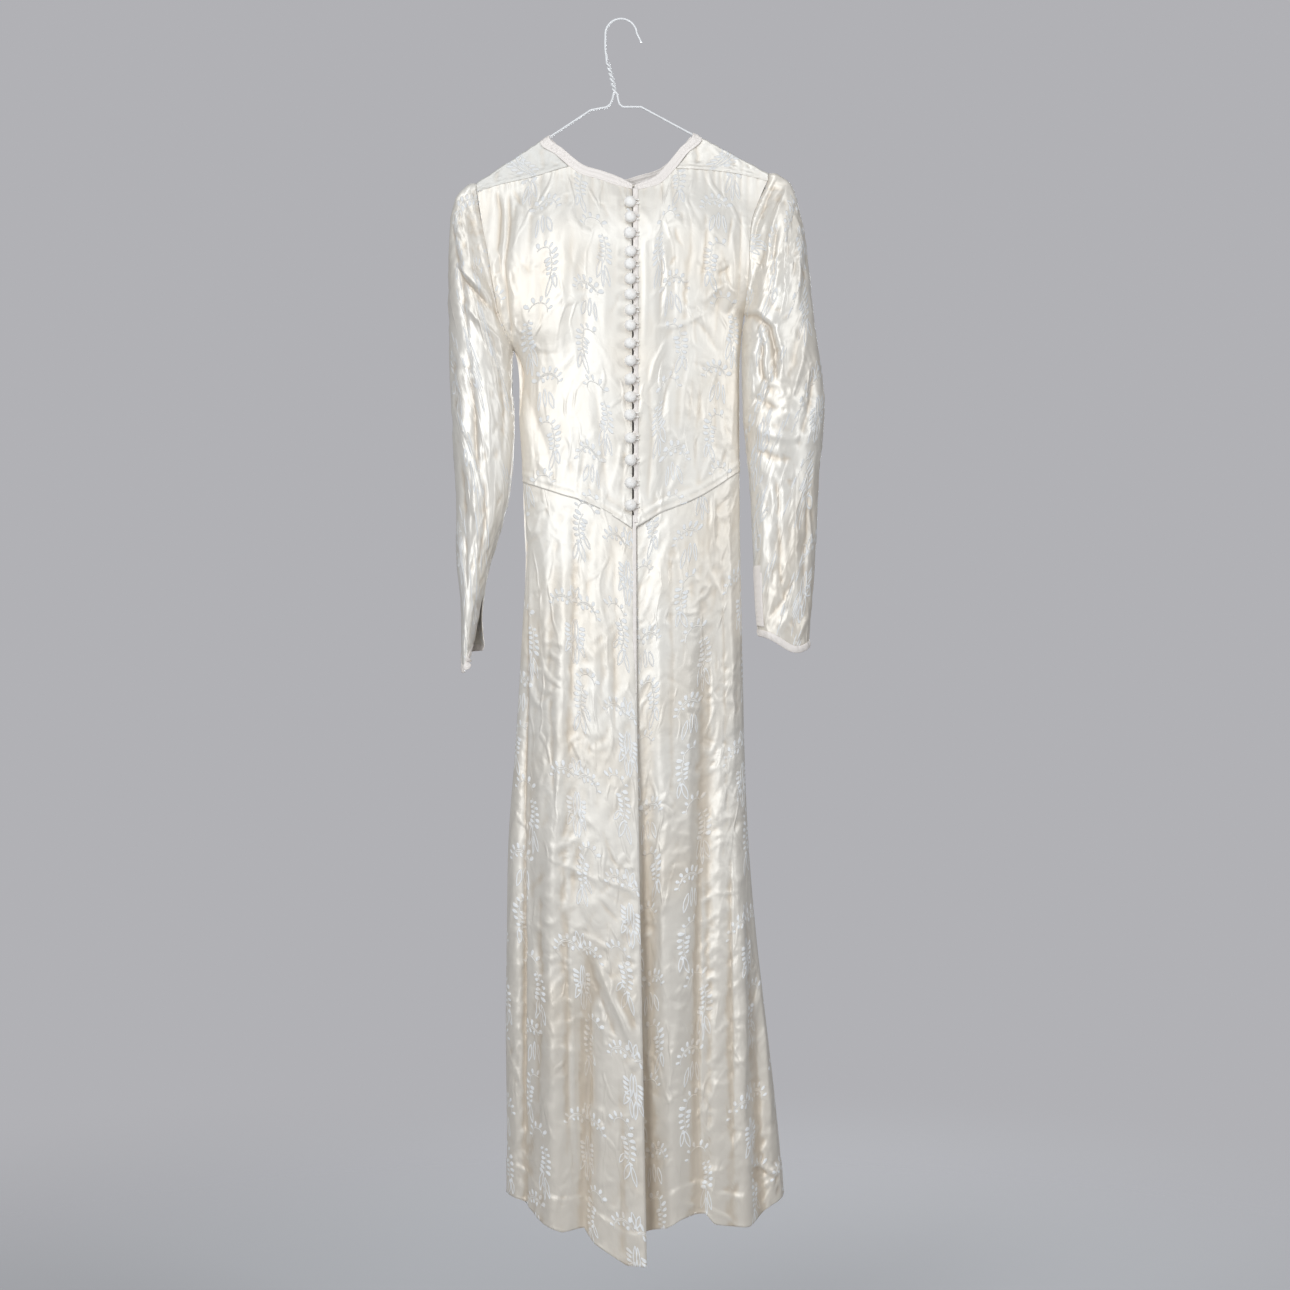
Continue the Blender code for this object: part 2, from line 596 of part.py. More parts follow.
WAIST_EASE = 0.2        # the share of the length over which the sides take the body's own line
LEAST_LIP = 0.0002      # the lip is turned under at least this far
LIP_SHARE = 0.72        # the lip goes this share of the way to the right back
FOLD_FLAT = 0.004       # the right back lies flat this far out from the fold's edge


def skirt_drop(seam, hem, first_x, last_x, a, b):
    """The drop at each fraction across and down, and the x along the waist seam above."""
    top_x = first_x + (last_x - first_x) * a
    top = waist_drop(seam, top_x)
    foot = smooth_through([point[0] for point in hem], [point[1] for point in hem], a)
    return top + (foot - top) * b, top_x


def skirt_back_left(columns, rows, lip_columns):
    """The left back of the skirt, from its side to the fold's edge, and the lip turned under."""
    a, b = grid(columns, rows)
    drop, top_x = skirt_drop(WAIST_BACK_LEFT, HEM_BACK_LEFT, SIDE_LEFT[-1][0], LAPS[0].edge, a, b)
    left = column(BODY, "left", drop)
    edge = column(LAPS, "edge", drop)
    ease = smoothstep(b / WAIST_EASE)
    x = top_x * (1 - ease) + (left + (edge - left) * a) * ease
    main = sheet_point(x, drop, "back")
    last = main[:, -1:, :]
    w = np.asarray(lip_columns, float)[None, :]
    lip = column(LAPS, "lip", drop[:, -1:])
    depth = np.maximum(column(LAPS, "recess", drop[:, -1:]) - LAPS[0].recess, LEAST_LIP) * LIP_SHARE
    under = np.repeat(last, w.shape[1], axis=1)
    under[..., 0] -= lip * (1 - np.cos(math.pi * w)) / 2
    under[..., 1] += depth * np.sin(math.pi * w / 2)
    return np.concatenate([main, under], axis=1)


def skirt_back_right(columns, rows):
    """The right back of the skirt, from under the fold to its side."""
    a, b = grid(columns, rows)
    first = LAPS[0].edge - UNDERLAP
    drop, top_x = skirt_drop(WAIST_BACK_RIGHT, HEM_BACK_RIGHT, first, SIDE_RIGHT[-1][0], a, b)
    right = column(BODY, "right", drop)
    edge = column(LAPS, "edge", drop)
    ease = smoothstep(b / WAIST_EASE)
    x = top_x * (1 - ease) + (edge - UNDERLAP + (right - edge + UNDERLAP) * a) * ease
    points = sheet_point(x, drop, "back")
    recess = column(LAPS, "recess", drop)
    points[..., 1] += recess * (1 - smoothstep((x - edge - FOLD_FLAT) / FOLD_RISE))
    return points


def skirt_front(columns, rows):
    a, b = grid(columns, rows)
    drop, top_x = skirt_drop(WAIST_FRONT, HEM_FRONT, SIDE_LEFT[-1][0], SIDE_RIGHT[-1][0], a, b)
    left = column(BODY, "left", drop)
    right = column(BODY, "right", drop)
    ease = smoothstep(b / WAIST_EASE)
    x = top_x * (1 - ease) + (left + (right - left) * a) * ease
    return sheet_point(x, drop, "front")


BINDING_TOP = 0.008     # the bound edge starts this share of the panel's length down


def skirt_opening_binding():
    """The bound edge of the skirt's opening, a strip on the left panel's last stretch."""
    width = LAPS[0].edge - SIDE_LEFT[-1][0]
    columns = (1 - 3 * BINDING_WIDTH / width, 1 - BINDING_WIDTH / width, 1.0)
    last_row = (BINDING_FOOT - LAPS[0].drop) / (HEM_BACK_LEFT[-1][1] - LAPS[0].drop)
    rows = np.linspace(BINDING_TOP, last_row, 8)
    panel = skirt_back_left(columns, rows, LIP_COLUMNS)[:, 1:3]
    return moved_out(panel, -ON_TOP)


# Sleeves ---------------------------------------------------------------------------------------

def ring_column(rings, name, s):
    keys = np.linspace(0.0, 1.0, len(rings))
    return smooth_through(keys, [getattr(ring, name) for ring in rings], s)


def armhole_point(armhole, x_gap, around):
    """The armhole's loop: round the front from the underarm, over the shoulder, down the back."""
    angle = 2 * math.pi * around
    place = along(armhole, (1 + np.cos(angle)) / 2)
    front = sheet_point(place[..., 0], place[..., 1], "front")
    back = sheet_point(place[..., 0], place[..., 1], "back")
    point = np.where((np.sin(angle) > 0)[..., None], front, back)
    point[..., 0] += x_gap
    return point


CAP_SHARE = 0.18        # the share of a sleeve's length that follows the armhole
WRIST_SHARE = 0.16      # the share that the wrist's point takes
SLIT_REACH = 0.16       # how far round the sleeve the slit's opening is felt


def sleeve(rings, armhole, point_row, columns, rows, spread):
    """A sleeve as an open sheet: its two long edges meet along the seam under the arm."""
    around, s = grid(columns, rows)
    angle = 2 * math.pi * around
    outer = np.stack([ring_column(rings, "outer_x", s), ring_column(rings, "outer_drop", s)], -1)
    inner = np.stack([ring_column(rings, "inner_x", s), ring_column(rings, "inner_drop", s)], -1)
    middle = (outer + inner) / 2
    half = (outer - inner) / 2
    flat_place = middle - half * np.cos(angle)[..., None]
    depth = ring_column(rings, "half_depth", s) * np.sin(angle)
    lens = np.stack([flat_place[..., 0], depth, -flat_place[..., 1]], axis=-1)
    x_gap = -ARMHOLE_SEAM if rings[0].outer_x < 0 else ARMHOLE_SEAM
    loop = armhole_point(armhole, x_gap, around)
    first_ring = np.stack([
        ((rings[0].outer_x + rings[0].inner_x) / 2
         - (rings[0].outer_x - rings[0].inner_x) / 2 * np.cos(angle)),
        rings[0].half_depth * np.sin(angle),
        -((rings[0].outer_drop + rings[0].inner_drop) / 2
          - (rings[0].outer_drop - rings[0].inner_drop) / 2 * np.cos(angle)),
    ], axis=-1)
    keep = (1 - smoothstep(s / CAP_SHARE))[..., None]
    points = lens + (loop - first_ring) * keep
    nearness = np.exp(-(((around - point_row.place) / point_row.half_width) ** 2))
    points[..., 2] -= point_row.fall * nearness * smoothstep((s - 1 + WRIST_SHARE) / WRIST_SHARE)
    opened = smoothstep((s - SLIT_TOP) / (1 - SLIT_TOP)) * smoothstep((SLIT_REACH - around) / SLIT_REACH)
    points[..., 0] += spread * opened
    return points


SLEEVE_SEAM = 0.0016    # half the seam's gap, as a share of the way round


def seam_columns(count):
    """Columns round a sleeve, with the seam's gap left between the first and the last."""
    return np.linspace(SLEEVE_SEAM, 1 - SLEEVE_SEAM, count + 1)


def cuff_binding(points):
    """A strip that carries a sleeve's last row on downwards, square to that row."""
    last = points[-1]
    round_rim = np.gradient(last, axis=0)
    round_rim = round_rim / np.linalg.norm(round_rim, axis=-1, keepdims=True)
    down = last - points[-2]
    down = down - round_rim * (down * round_rim).sum(axis=-1, keepdims=True)
    down = down / np.linalg.norm(down, axis=-1, keepdims=True)
    start = last + down * CUFF_GAP
    return np.array([start, start + down * CUFF_WIDTH / 2, start + down * CUFF_WIDTH])


PLACKET_AROUND = (0.885, 0.985)     # the strip's two long edges, as shares of the way round
PLACKET_DOWN = (0.835, 0.985)       # its two ends, as shares of the sleeve's length


def wrist_placket(rings, armhole, point_row):
    """The strip beside the right wrist's slit, moved out from the sleeve's own points."""
    columns = np.linspace(*PLACKET_AROUND, 4)
    rows = np.linspace(*PLACKET_DOWN, 6)
    return moved_out(sleeve(rings, armhole, point_row, columns, rows, 0.0), ON_TOP)


# Buttons and loops -----------------------------------------------------------------------------

def button_mesh():
    """Half the outline of a covered button on its shank, turned by Screw."""
    outline = (
        (0.0, 0.0108), (0.0032, 0.0103), (0.0060, 0.0085), (0.0073, 0.0060), (0.0066, 0.0038),
        (0.0019, 0.0030), (0.0017, 0.0), (0.0, 0.0),
    )
    mesh = bpy.data.meshes.new("button")
    mesh.from_pydata([(r, 0.0, h) for r, h in outline], [(i, i + 1) for i in range(len(outline) - 1)], [])
    return mesh


def add_button(number, mesh, place, material):
    button = bpy.data.objects.new(f"button_{number:02d}", mesh)
    dress.objects.link(button)
    if not mesh.materials:
        mesh.materials.append(material)
    button.location = place
    button.rotation_euler = (math.radians(90), 0.0, 0.0)
    turn = button.modifiers.new("turn", "SCREW")
    turn.steps = BUTTON_STEPS
    turn.render_steps = BUTTON_STEPS
    turn.use_merge_vertices = True
    turn.merge_threshold = 0.00005
    return button


LOOP_DRAWN_IN = 0.8     # a loop's two ends stand this much nearer than its bend is wide


def loop_points(drop):
    """A button loop: off the right panel, round the shank, and back, lying on the cloth."""
    half_in = (1 + LOOP_DRAWN_IN) / 2
    ends = [(LOOP_LENGTH, LOOP_DRAWN_IN * LOOP_ROUND), (LOOP_LENGTH / 2, half_in * LOOP_ROUND)]
    turns = [(-LOOP_ROUND * math.sin(t), LOOP_ROUND * math.cos(t)) for t in np.linspace(0, math.pi, 6)]
    path = np.array(ends + turns + [(x, -up) for x, up in ends[::-1]])
    points = sheet_point(BUTTON_X + path[:, 0], drop - path[:, 1], "back")
    points[:, 1] -= CLOTH / 2 + LIFT + LOOP_RADIUS
    return [tuple(point) for point in points]


# Building --------------------------------------------------------------------------------------

for leftover in list(bpy.data.objects):
    bpy.data.objects.remove(leftover, do_unlink=True)

dress = bpy.data.collections.new("wedding_dress")
bpy.context.scene.collection.children.link(dress)

satin = make_material("satin", (0.86, 0.83, 0.77), 0.38, 0.0)
binding = make_material("binding", (0.88, 0.82, 0.76), 0.55, 0.0)
button_satin = make_material("button_satin", (0.89, 0.86, 0.81), 0.45, 0.0)
wire_coat = make_material("wire_coat", (0.90, 0.90, 0.89), 0.35, 0.0)

add_wire("hanger", hanger_points(), WIRE_RADIUS, wire_coat, 2)

add_sheet("back_bodice_left", bodice_back(True), satin, False)
add_sheet("back_bodice_right", bodice_back(False), satin, True)
add_sheet("front_bodice", bodice_front(), satin, False)

add_sheet("yoke_left", yoke(DOWN_YOKE, True), satin, True)
add_sheet("yoke_right", yoke(DOWN_YOKE, False), satin, False)

add_sheet("neck_binding_back_left", binding_strip(NECK_BACK_LEFT, "back", (-1,)), binding, True)
add_sheet("neck_binding_back_right", binding_strip(NECK_BACK_RIGHT, "back", (1,)), binding, False)
add_sheet("neck_binding_front", binding_strip(NECK_FRONT, "front", (-1, 1)), binding, True)

skirt_rows = np.linspace(0.0, 1.0, DOWN_SKIRT)
add_sheet("skirt_back_left", skirt_back_left(ACROSS_HALF, skirt_rows, LIP_COLUMNS), satin, True)
right_columns = 1 - np.array(ACROSS_HALF)[::-1]
add_sheet("skirt_back_right", skirt_back_right(right_columns, skirt_rows), satin, True)
add_sheet("skirt_front", skirt_front(ACROSS_FULL, skirt_rows), satin, False)
add_sheet("skirt_opening_binding", skirt_opening_binding(), binding, True)

around_sleeve = seam_columns(SLEEVE_COLUMNS)
left_sleeve = sleeve(SLEEVE_LEFT, ARMHOLE_LEFT, POINT_LEFT, around_sleeve, SLEEVE_ROWS, SLIT_SPREAD)
right_sleeve = sleeve(SLEEVE_RIGHT, ARMHOLE_RIGHT, POINT_RIGHT, around_sleeve, SLEEVE_ROWS, 0.0)
add_sheet("sleeve_left", left_sleeve, satin, True)
add_sheet("sleeve_right", right_sleeve, satin, False)
add_sheet("cuff_binding_left", cuff_binding(left_sleeve), binding, True)
add_sheet("cuff_binding_right", cuff_binding(right_sleeve), binding, False)
placket = wrist_placket(SLEEVE_RIGHT, ARMHOLE_RIGHT, POINT_RIGHT)
add_sheet("wrist_placket_right", placket, binding, False)

button_shape = button_mesh()
for number in range(1, BUTTON_COUNT + 1):
    drop = np.interp(number, *np.array(BUTTON_PLACES).T)
    under = sheet_point(np.array(BUTTON_X), np.array(drop), "back")
    seat = (BUTTON_X, float(under[1]) - CLOTH / 2 - LIFT, -float(drop))
    add_button(number, button_shape, seat, button_satin)
    add_wire(f"loop_{number:02d}", loop_points(float(drop)), LOOP_RADIUS, button_satin, 1)
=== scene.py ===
# %% [markdown]
# # A satin wedding dress on a wire hanger
#
# This lesson finishes a long figured-satin wedding dress. It hangs with its buttoned back towards us
# from a white wire hanger. The dress already exists as plain solids, which the first cell opens.
# Each later cell makes one piece, or one finish, at full detail and in the same place.
# Sizes are in metres. +Z is up, -Y is towards us, and "drop" is the distance below the hook's crown.

# %% Open the plain model
import math
from collections import namedtuple
from functools import partial

import bpy
import numpy as np
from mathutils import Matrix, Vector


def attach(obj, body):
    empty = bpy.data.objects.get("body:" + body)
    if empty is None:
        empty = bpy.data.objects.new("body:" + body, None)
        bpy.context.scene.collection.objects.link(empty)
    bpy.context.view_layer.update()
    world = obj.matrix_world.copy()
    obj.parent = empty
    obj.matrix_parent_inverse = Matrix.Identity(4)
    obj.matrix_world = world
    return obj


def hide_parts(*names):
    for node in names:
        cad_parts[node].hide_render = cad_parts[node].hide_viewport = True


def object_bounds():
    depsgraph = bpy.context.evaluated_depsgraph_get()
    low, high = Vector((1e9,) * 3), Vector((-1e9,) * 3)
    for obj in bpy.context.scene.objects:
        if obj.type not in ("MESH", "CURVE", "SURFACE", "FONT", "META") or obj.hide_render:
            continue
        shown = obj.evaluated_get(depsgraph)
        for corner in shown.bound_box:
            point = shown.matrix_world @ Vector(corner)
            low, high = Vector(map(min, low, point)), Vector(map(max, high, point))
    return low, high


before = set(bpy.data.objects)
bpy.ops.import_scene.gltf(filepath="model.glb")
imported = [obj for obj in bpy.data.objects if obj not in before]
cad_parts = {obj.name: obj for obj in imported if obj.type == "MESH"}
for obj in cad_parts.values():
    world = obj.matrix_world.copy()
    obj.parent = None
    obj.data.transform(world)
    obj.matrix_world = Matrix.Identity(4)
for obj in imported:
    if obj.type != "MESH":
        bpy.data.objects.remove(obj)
plain_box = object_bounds()
BACK, FRONT = -1.0, 1.0
LEFT, RIGHT = -1, 1
print("plain model from", *[[round(float(c), 4) for c in corner] for corner in plain_box])

# %% [markdown]
# ## Camera, floor and light
#
# The camera stands straight in front, about three metres away. A small lamp far to the right throws
# the buttons' shadows and shows each crease, and broad soft ones to the left and above fill the
# satin with light. The floor could be a real room's, but a round pale floor that fades out keeps
# the eye on the cloth and gives no hard horizon.

# %% Camera
CAMERA_DISTANCE = 3.0
PICTURE_HEIGHT = 1.677
ASIDE, BELOW = 0.0111, 0.0120

low, high = (np.array(corner, float) for corner in plain_box)
aim = (low + high) / 2 + np.array([ASIDE, 0.0, -BELOW])
camera = bpy.data.objects.new("camera", bpy.data.cameras.new("camera"))
bpy.context.scene.collection.objects.link(camera)
camera.location = (aim[0], -CAMERA_DISTANCE, aim[2])
camera.rotation_euler = (math.radians(90), 0.0, 0.0)
camera.data.angle = 2 * math.atan(PICTURE_HEIGHT / 2 / CAMERA_DISTANCE)
bpy.context.scene.camera = camera
print("camera aims at", aim.round(4))


# %% Node helpers
def node(tree, kind, inputs=(), **settings):
    """Adds a shader node, and fills or links its inputs by name or number."""
    made = tree.nodes.new("ShaderNode" + kind)
    for key, value in settings.items():
        setattr(made, key, value)
    for key, value in dict(inputs).items():
        if isinstance(value, bpy.types.NodeSocket):
            tree.links.new(value, made.inputs[key])
        else:
            made.inputs[key].default_value = value
    return made


def maths(tree, operation, *values, clamp=False):
    made = node(tree, "Math", dict(enumerate(values)), operation=operation, use_clamp=clamp)
    return made.outputs[0]


def mixed(tree, amount, first, second):
    """A colour between two colours."""
    made = node(tree, "Mix", {0: amount, 6: first, 7: second}, data_type="RGBA")
    return made.outputs[2]


def ranged(tree, value, low, high, first=0.0, last=1.0, ease="LINEAR"):
    """The value carried from between low and high to between first and last."""
    inputs = {0: value, 1: low, 2: high, 3: first, 4: last}
    return node(tree, "MapRange", inputs, interpolation_type=ease).outputs[0]


def noise(tree, place, scale, detail, output="Fac", **more):
    """Smooth noise with this many cells to the unit of its place."""
    inputs = {"Vector": place, "Scale": scale, "Detail": detail, **more}
    return node(tree, "TexNoise", inputs).outputs[output]


def add_bump(tree, shader, height, strength, distance):
    bump = node(tree, "Bump", {"Strength": strength, "Distance": distance, "Height": height})
    tree.links.new(bump.outputs[0], shader.inputs["Normal"])


def new_material(name):
    material = bpy.data.materials.new(name)
    material.use_nodes = True
    print("material", name)
    return material.node_tree, material.node_tree.nodes["Principled BSDF"], material


# %% Floor
FLOOR_BELOW_HEM = 0.26
FLOOR_RADIUS, FLOOR_FADES_FROM = 2.6, 0.5
FLOOR_GREY = (0.52, 0.52, 0.53, 1.0)

tree, shader, floor_finish = new_material("pale_floor")
shader.inputs["Base Color"].default_value = FLOOR_GREY
shader.inputs["Roughness"].default_value = 0.9
place = node(tree, "TexCoord").outputs["Object"]
reach = node(tree, "VectorMath", {0: place}, operation="LENGTH").outputs["Value"]
fade = ranged(tree, reach, FLOOR_FADES_FROM, FLOOR_RADIUS, 1.0, 0.0, "SMOOTHSTEP")
tree.links.new(fade, shader.inputs["Alpha"])
bpy.ops.mesh.primitive_circle_add(vertices=96, radius=FLOOR_RADIUS, fill_type="NGON")
floor = bpy.context.object
floor.name = "floor"
floor.location = (aim[0], 0.0, low[2] - FLOOR_BELOW_HEM)
floor.data.materials.append(floor_finish)
print("floor at", round(floor.location.z, 3))

# %% Lamps
WALL_GREY = (0.440, 0.440, 0.463, 1.0)
ROOM_LIGHT = 0.40
LAMP_WHITE = (0.915, 0.957, 1.0)
CHEST_ABOVE_AIM = 0.35


def add_lamp(name, place, aim_at, width, height, power):
    lamp = bpy.data.objects.new(name, bpy.data.lights.new(name, "AREA"))
    lamp.data.shape = "RECTANGLE"
    lamp.data.size = width
    lamp.data.size_y = height
    lamp.data.energy = power
    lamp.data.color = LAMP_WHITE
    lamp.location = place
    towards = np.array(aim_at, float) - np.array(place, float)
    lamp.rotation_euler = (math.acos(-towards[2] / np.linalg.norm(towards)), 0.0,
                           math.atan2(towards[1], towards[0]) - math.pi / 2)
    bpy.context.scene.collection.objects.link(lamp)
    return lamp


chest = (aim[0], 0.0, aim[2] + CHEST_ABOVE_AIM)
add_lamp("key", (2.10, -1.7, aim[2] + 0.80), chest, 0.5, 1.0, 21)
add_lamp("left_fill", (-1.15, -2.5, aim[2] + 0.55), chest, 1.0, 1.5, 38)
add_lamp("overhead", (-0.35, -2.0, aim[2] + 2.0), chest, 1.5, 1.2, 22)
add_lamp("back_fill", (0.6, 2.9, aim[2] + 0.9), aim, 1.2, 1.6, 60)
world = bpy.data.worlds.new("grey_studio")
bpy.context.scene.world = world
world.use_nodes = True
sky = world.node_tree
backdrop = node(sky, "Background", {"Color": WALL_GREY})
dimmer = node(sky, "Background", {"Color": WALL_GREY, "Strength": ROOM_LIGHT})
seen = node(sky, "LightPath").outputs["Is Camera Ray"]
either = node(sky, "MixShader", {0: seen, 1: dimmer.outputs[0], 2: backdrop.outputs[0]})
sky.links.new(either.outputs[0], sky.nodes["World Output"].inputs["Surface"])
bpy.context.scene.view_settings.view_transform = "Standard"
print("lamps:", *[lamp.name for lamp in bpy.data.lights])

# %% [markdown]
# ## The form that the cloth hangs on
#
# An empty dress on a hanger is nearly flat. Its back and front are two sheets that part in the
# middle and close at the sides, and both fold over the wire at the shoulders. One could sculpt
# that, but a few measured sections and one formula keep every panel on the same form, so that
# seams meet. A curve runs smoothly through the sections.


# %% Smooth curves
def eased(amount):
    """0 below 0, 1 above 1, and an eased rise between."""
    amount = np.clip(amount, 0.0, 1.0)
    return amount * amount * (3.0 - 2.0 * amount)


def curve_through(keys, values, at):
    """The value at each place on a smooth curve through the values at the keys."""
    keys = np.asarray(keys, float)
    values = np.asarray(values, float)
    slopes = np.gradient(values, keys)
    at = np.clip(np.asarray(at, float), keys[0], keys[-1])
    row = np.clip(np.searchsorted(keys, at, side="right") - 1, 0, len(keys) - 2)
    span = keys[row + 1] - keys[row]
    t = (at - keys[row]) / span
    start = values[row] * (1 + 2 * t) * (1 - t) ** 2 + slopes[row] * span * t * (1 - t) ** 2
    end = values[row + 1] * t * t * (3 - 2 * t) + slopes[row + 1] * span * t * t * (t - 1)
    return start + end


def swell_at(place, middle, half_width):
    """A smooth swell: 1 at the middle, and gone a few half widths away."""
    return np.exp(-(((place - middle) / half_width) ** 2))


def column(table, name, at):
    """One named column of a table, read at a value of its first column."""
    return curve_through([row[0] for row in table], [getattr(row, name) for row in table], at)


def along(points, fraction):
    """The point this fraction of the way along a seam, on a smooth curve through its points."""
    points = np.asarray(points, float)
    keys = np.concatenate([[0.0], np.cumsum(np.linalg.norm(np.diff(points, axis=0), axis=1))])
    keys = keys / keys[-1]
    return np.stack([curve_through(keys, values, fraction) for values in points.T], axis=-1)


print("eased at a quarter, a half and three quarters:", eased(np.array([0.25, 0.5, 0.75])))


# %% The body's sections and its standing folds
CLOTH = 0.0006
CLEAR = 0.0018 + CLOTH / 2
NECK_HALF_WIDTH = 0.0930
NECK_SEAM_AT_SHOULDER = 0.1035
LEFT_ELBOW, LEFT_SLOPE = (-0.0390, 0.1170), math.radians(33.3)
RIGHT_ELBOW, RIGHT_SLOPE = (0.0260, 0.1131), math.radians(28.3)
SIDE_GAP = 0.0007
SIDE_ROUNDNESS = 2.4
WAIST_DROP = 0.600
FULL_DEPTH_BELOW, LEAVES_WIRE_BELOW = 0.150, 0.060
FOLDS_FADE_UNDER, FOLD_FORMS_OVER = 0.012, 0.35

Section = namedtuple("Section", "drop left right back front")
BODY = (
    Section(0.150, -0.2350, 0.2350, 0.030, 0.022),
    Section(0.225, -0.2350, 0.2300, 0.036, 0.028),
    Section(0.300, -0.2120, 0.2010, 0.041, 0.033),
    Section(0.345, -0.1950, 0.1840, 0.042, 0.035),
    Section(0.382, -0.1775, 0.1600, 0.042, 0.035),
    Section(0.403, -0.1640, 0.1570, 0.041, 0.034),
    Section(0.429, -0.1391, 0.1548, 0.040, 0.033),
    Section(0.530, -0.1315, 0.1535, 0.037, 0.029),
    Section(0.600, -0.1270, 0.1538, 0.035, 0.026),
    Section(0.690, -0.1215, 0.1550, 0.040, 0.031),
    Section(0.750, -0.1255, 0.1560, 0.044, 0.034),
    Section(0.850, -0.1313, 0.1580, 0.047, 0.037),
    Section(0.955, -0.1378, 0.1604, 0.050, 0.040),
    Section(1.055, -0.1455, 0.1645, 0.053, 0.043),
    Section(1.190, -0.1482, 0.1755, 0.056, 0.047),
    Section(1.315, -0.1495, 0.1898, 0.059, 0.050),
    Section(1.404, -0.1484, 0.2000, 0.061, 0.052),
    Section(1.521, -0.1475, 0.2100, 0.063, 0.054),
    Section(1.610, -0.1470, 0.2120, 0.064, 0.055),
)
Fold = namedtuple("Fold", "side top_x top_drop foot_x foot_drop half_width depth")
FOLDS = (
    Fold(BACK, -0.1190, 0.740, -0.1210, 1.700, 0.010, -0.008),
    Fold(BACK, -0.0680, 0.640, -0.0900, 1.150, 0.012, 0.006),
    Fold(BACK, -0.0400, 1.150, -0.0470, 1.700, 0.014, -0.012),
    Fold(BACK, -0.0850, 1.200, -0.0780, 1.700, 0.018, 0.007),
    Fold(BACK, 0.1180, 0.620, 0.0930, 1.700, 0.017, -0.013),
    Fold(BACK, 0.1500, 0.950, 0.1620, 1.700, 0.011, 0.010),
    Fold(BACK, 0.1640, 1.150, 0.1880, 1.700, 0.010, -0.010),
    Fold(FRONT, -0.0900, 0.680, -0.1050, 1.700, 0.016, -0.010),
    Fold(FRONT, -0.0350, 0.800, -0.0450, 1.700, 0.018, 0.008),
    Fold(FRONT, 0.0250, 0.700, 0.0350, 1.700, 0.016, -0.011),
    Fold(FRONT, 0.0900, 0.850, 0.1150, 1.700, 0.018, 0.009),
    Fold(FRONT, 0.1350, 1.000, 0.1650, 1.700, 0.012, -0.009),
)


def shoulder_drop(x):
    """The drop of the line where cloth folds over the wire arms."""
    left = LEFT_ELBOW[1] + (LEFT_ELBOW[0] - np.minimum(x, -NECK_HALF_WIDTH)) * math.tan(LEFT_SLOPE)
    right = RIGHT_ELBOW[1] + (np.maximum(x, NECK_HALF_WIDTH) - RIGHT_ELBOW[0]) * math.tan(RIGHT_SLOPE)
    left = left - CLEAR / math.cos(LEFT_SLOPE)
    right = right - CLEAR / math.cos(RIGHT_SLOPE)
    share = eased((x + NECK_HALF_WIDTH) / (2 * NECK_HALF_WIDTH))
    return left * (1 - share) + right * share


def on_body(x, drop, side):
    """The point of the back or front sheet at this x and drop, with its standing folds."""
    left = column(BODY, "left", drop)
    right = column(BODY, "right", drop)
    across = np.clip((2 * x - left - right) / (right - left), -1.0, 1.0)
    round_side = np.sqrt(np.clip(1.0 - np.abs(across) ** SIDE_ROUNDNESS, 0.0, 1.0))
    below = drop - shoulder_drop(x)
    over_wire = np.sin(np.clip(below / CLEAR, 0.0, 1.0) * math.pi / 2)
    hanging = column(BODY, "back" if side == BACK else "front", drop) * round_side
    hanging = hanging * eased(below / FULL_DEPTH_BELOW)
    depth = over_wire * (SIDE_GAP / 2 + CLEAR * (1 - eased(below / LEAVES_WIRE_BELOW)) + hanging)
    fade = eased(depth / FOLDS_FADE_UNDER)
    for fold in FOLDS:
        if fold.side != side:
            continue
        t = (drop - fold.top_drop) / (fold.foot_drop - fold.top_drop)
        middle = fold.top_x + (fold.foot_x - fold.top_x) * np.clip(t, 0.0, 1.0)
        swell = swell_at(x, middle, fold.half_width)
        depth = depth + fold.depth * eased(t / FOLD_FORMS_OVER) * swell * fade
    return np.stack([x, side * depth, -drop], axis=-1)


waist_left, waist_right = (float(column(BODY, edge, WAIST_DROP)) for edge in ("left", "right"))
print("at the waist the form is", round(waist_right - waist_left, 3), "m wide")


# %% [markdown]
# ## Creases
#
# Satin that has been packed and hung keeps sharp, uneven creases with flat facets between them, and
# they are what makes it look like satin. A cloth simulation gives soft, even folds. Here each main
# crease is laid down as a short bent line with a width and a height: a ridge if the height
# is above zero, a trough if it is below. Small ones are scattered at seeded random places.
# The tables give a crease in millimetres: its width, its height, then x and drop of each bend.

# %% Crease tools
Crease = namedtuple("Crease", "path width height fold", defaults=(False,))
TIP_WIDTH, FOLD_STEP = 0.45, 0.16
RIPPLE_WAVES = 7


def crease_mm(width, height, *bends, fold=False):
    """A crease from its width, its height and the x and drop of each bend, all in millimetres."""
    path = np.array(bends).reshape(-1, 2) / 1000
    return Crease(path, width / 1000, height / 1000, fold)


fold_mm = partial(crease_mm, fold=True)


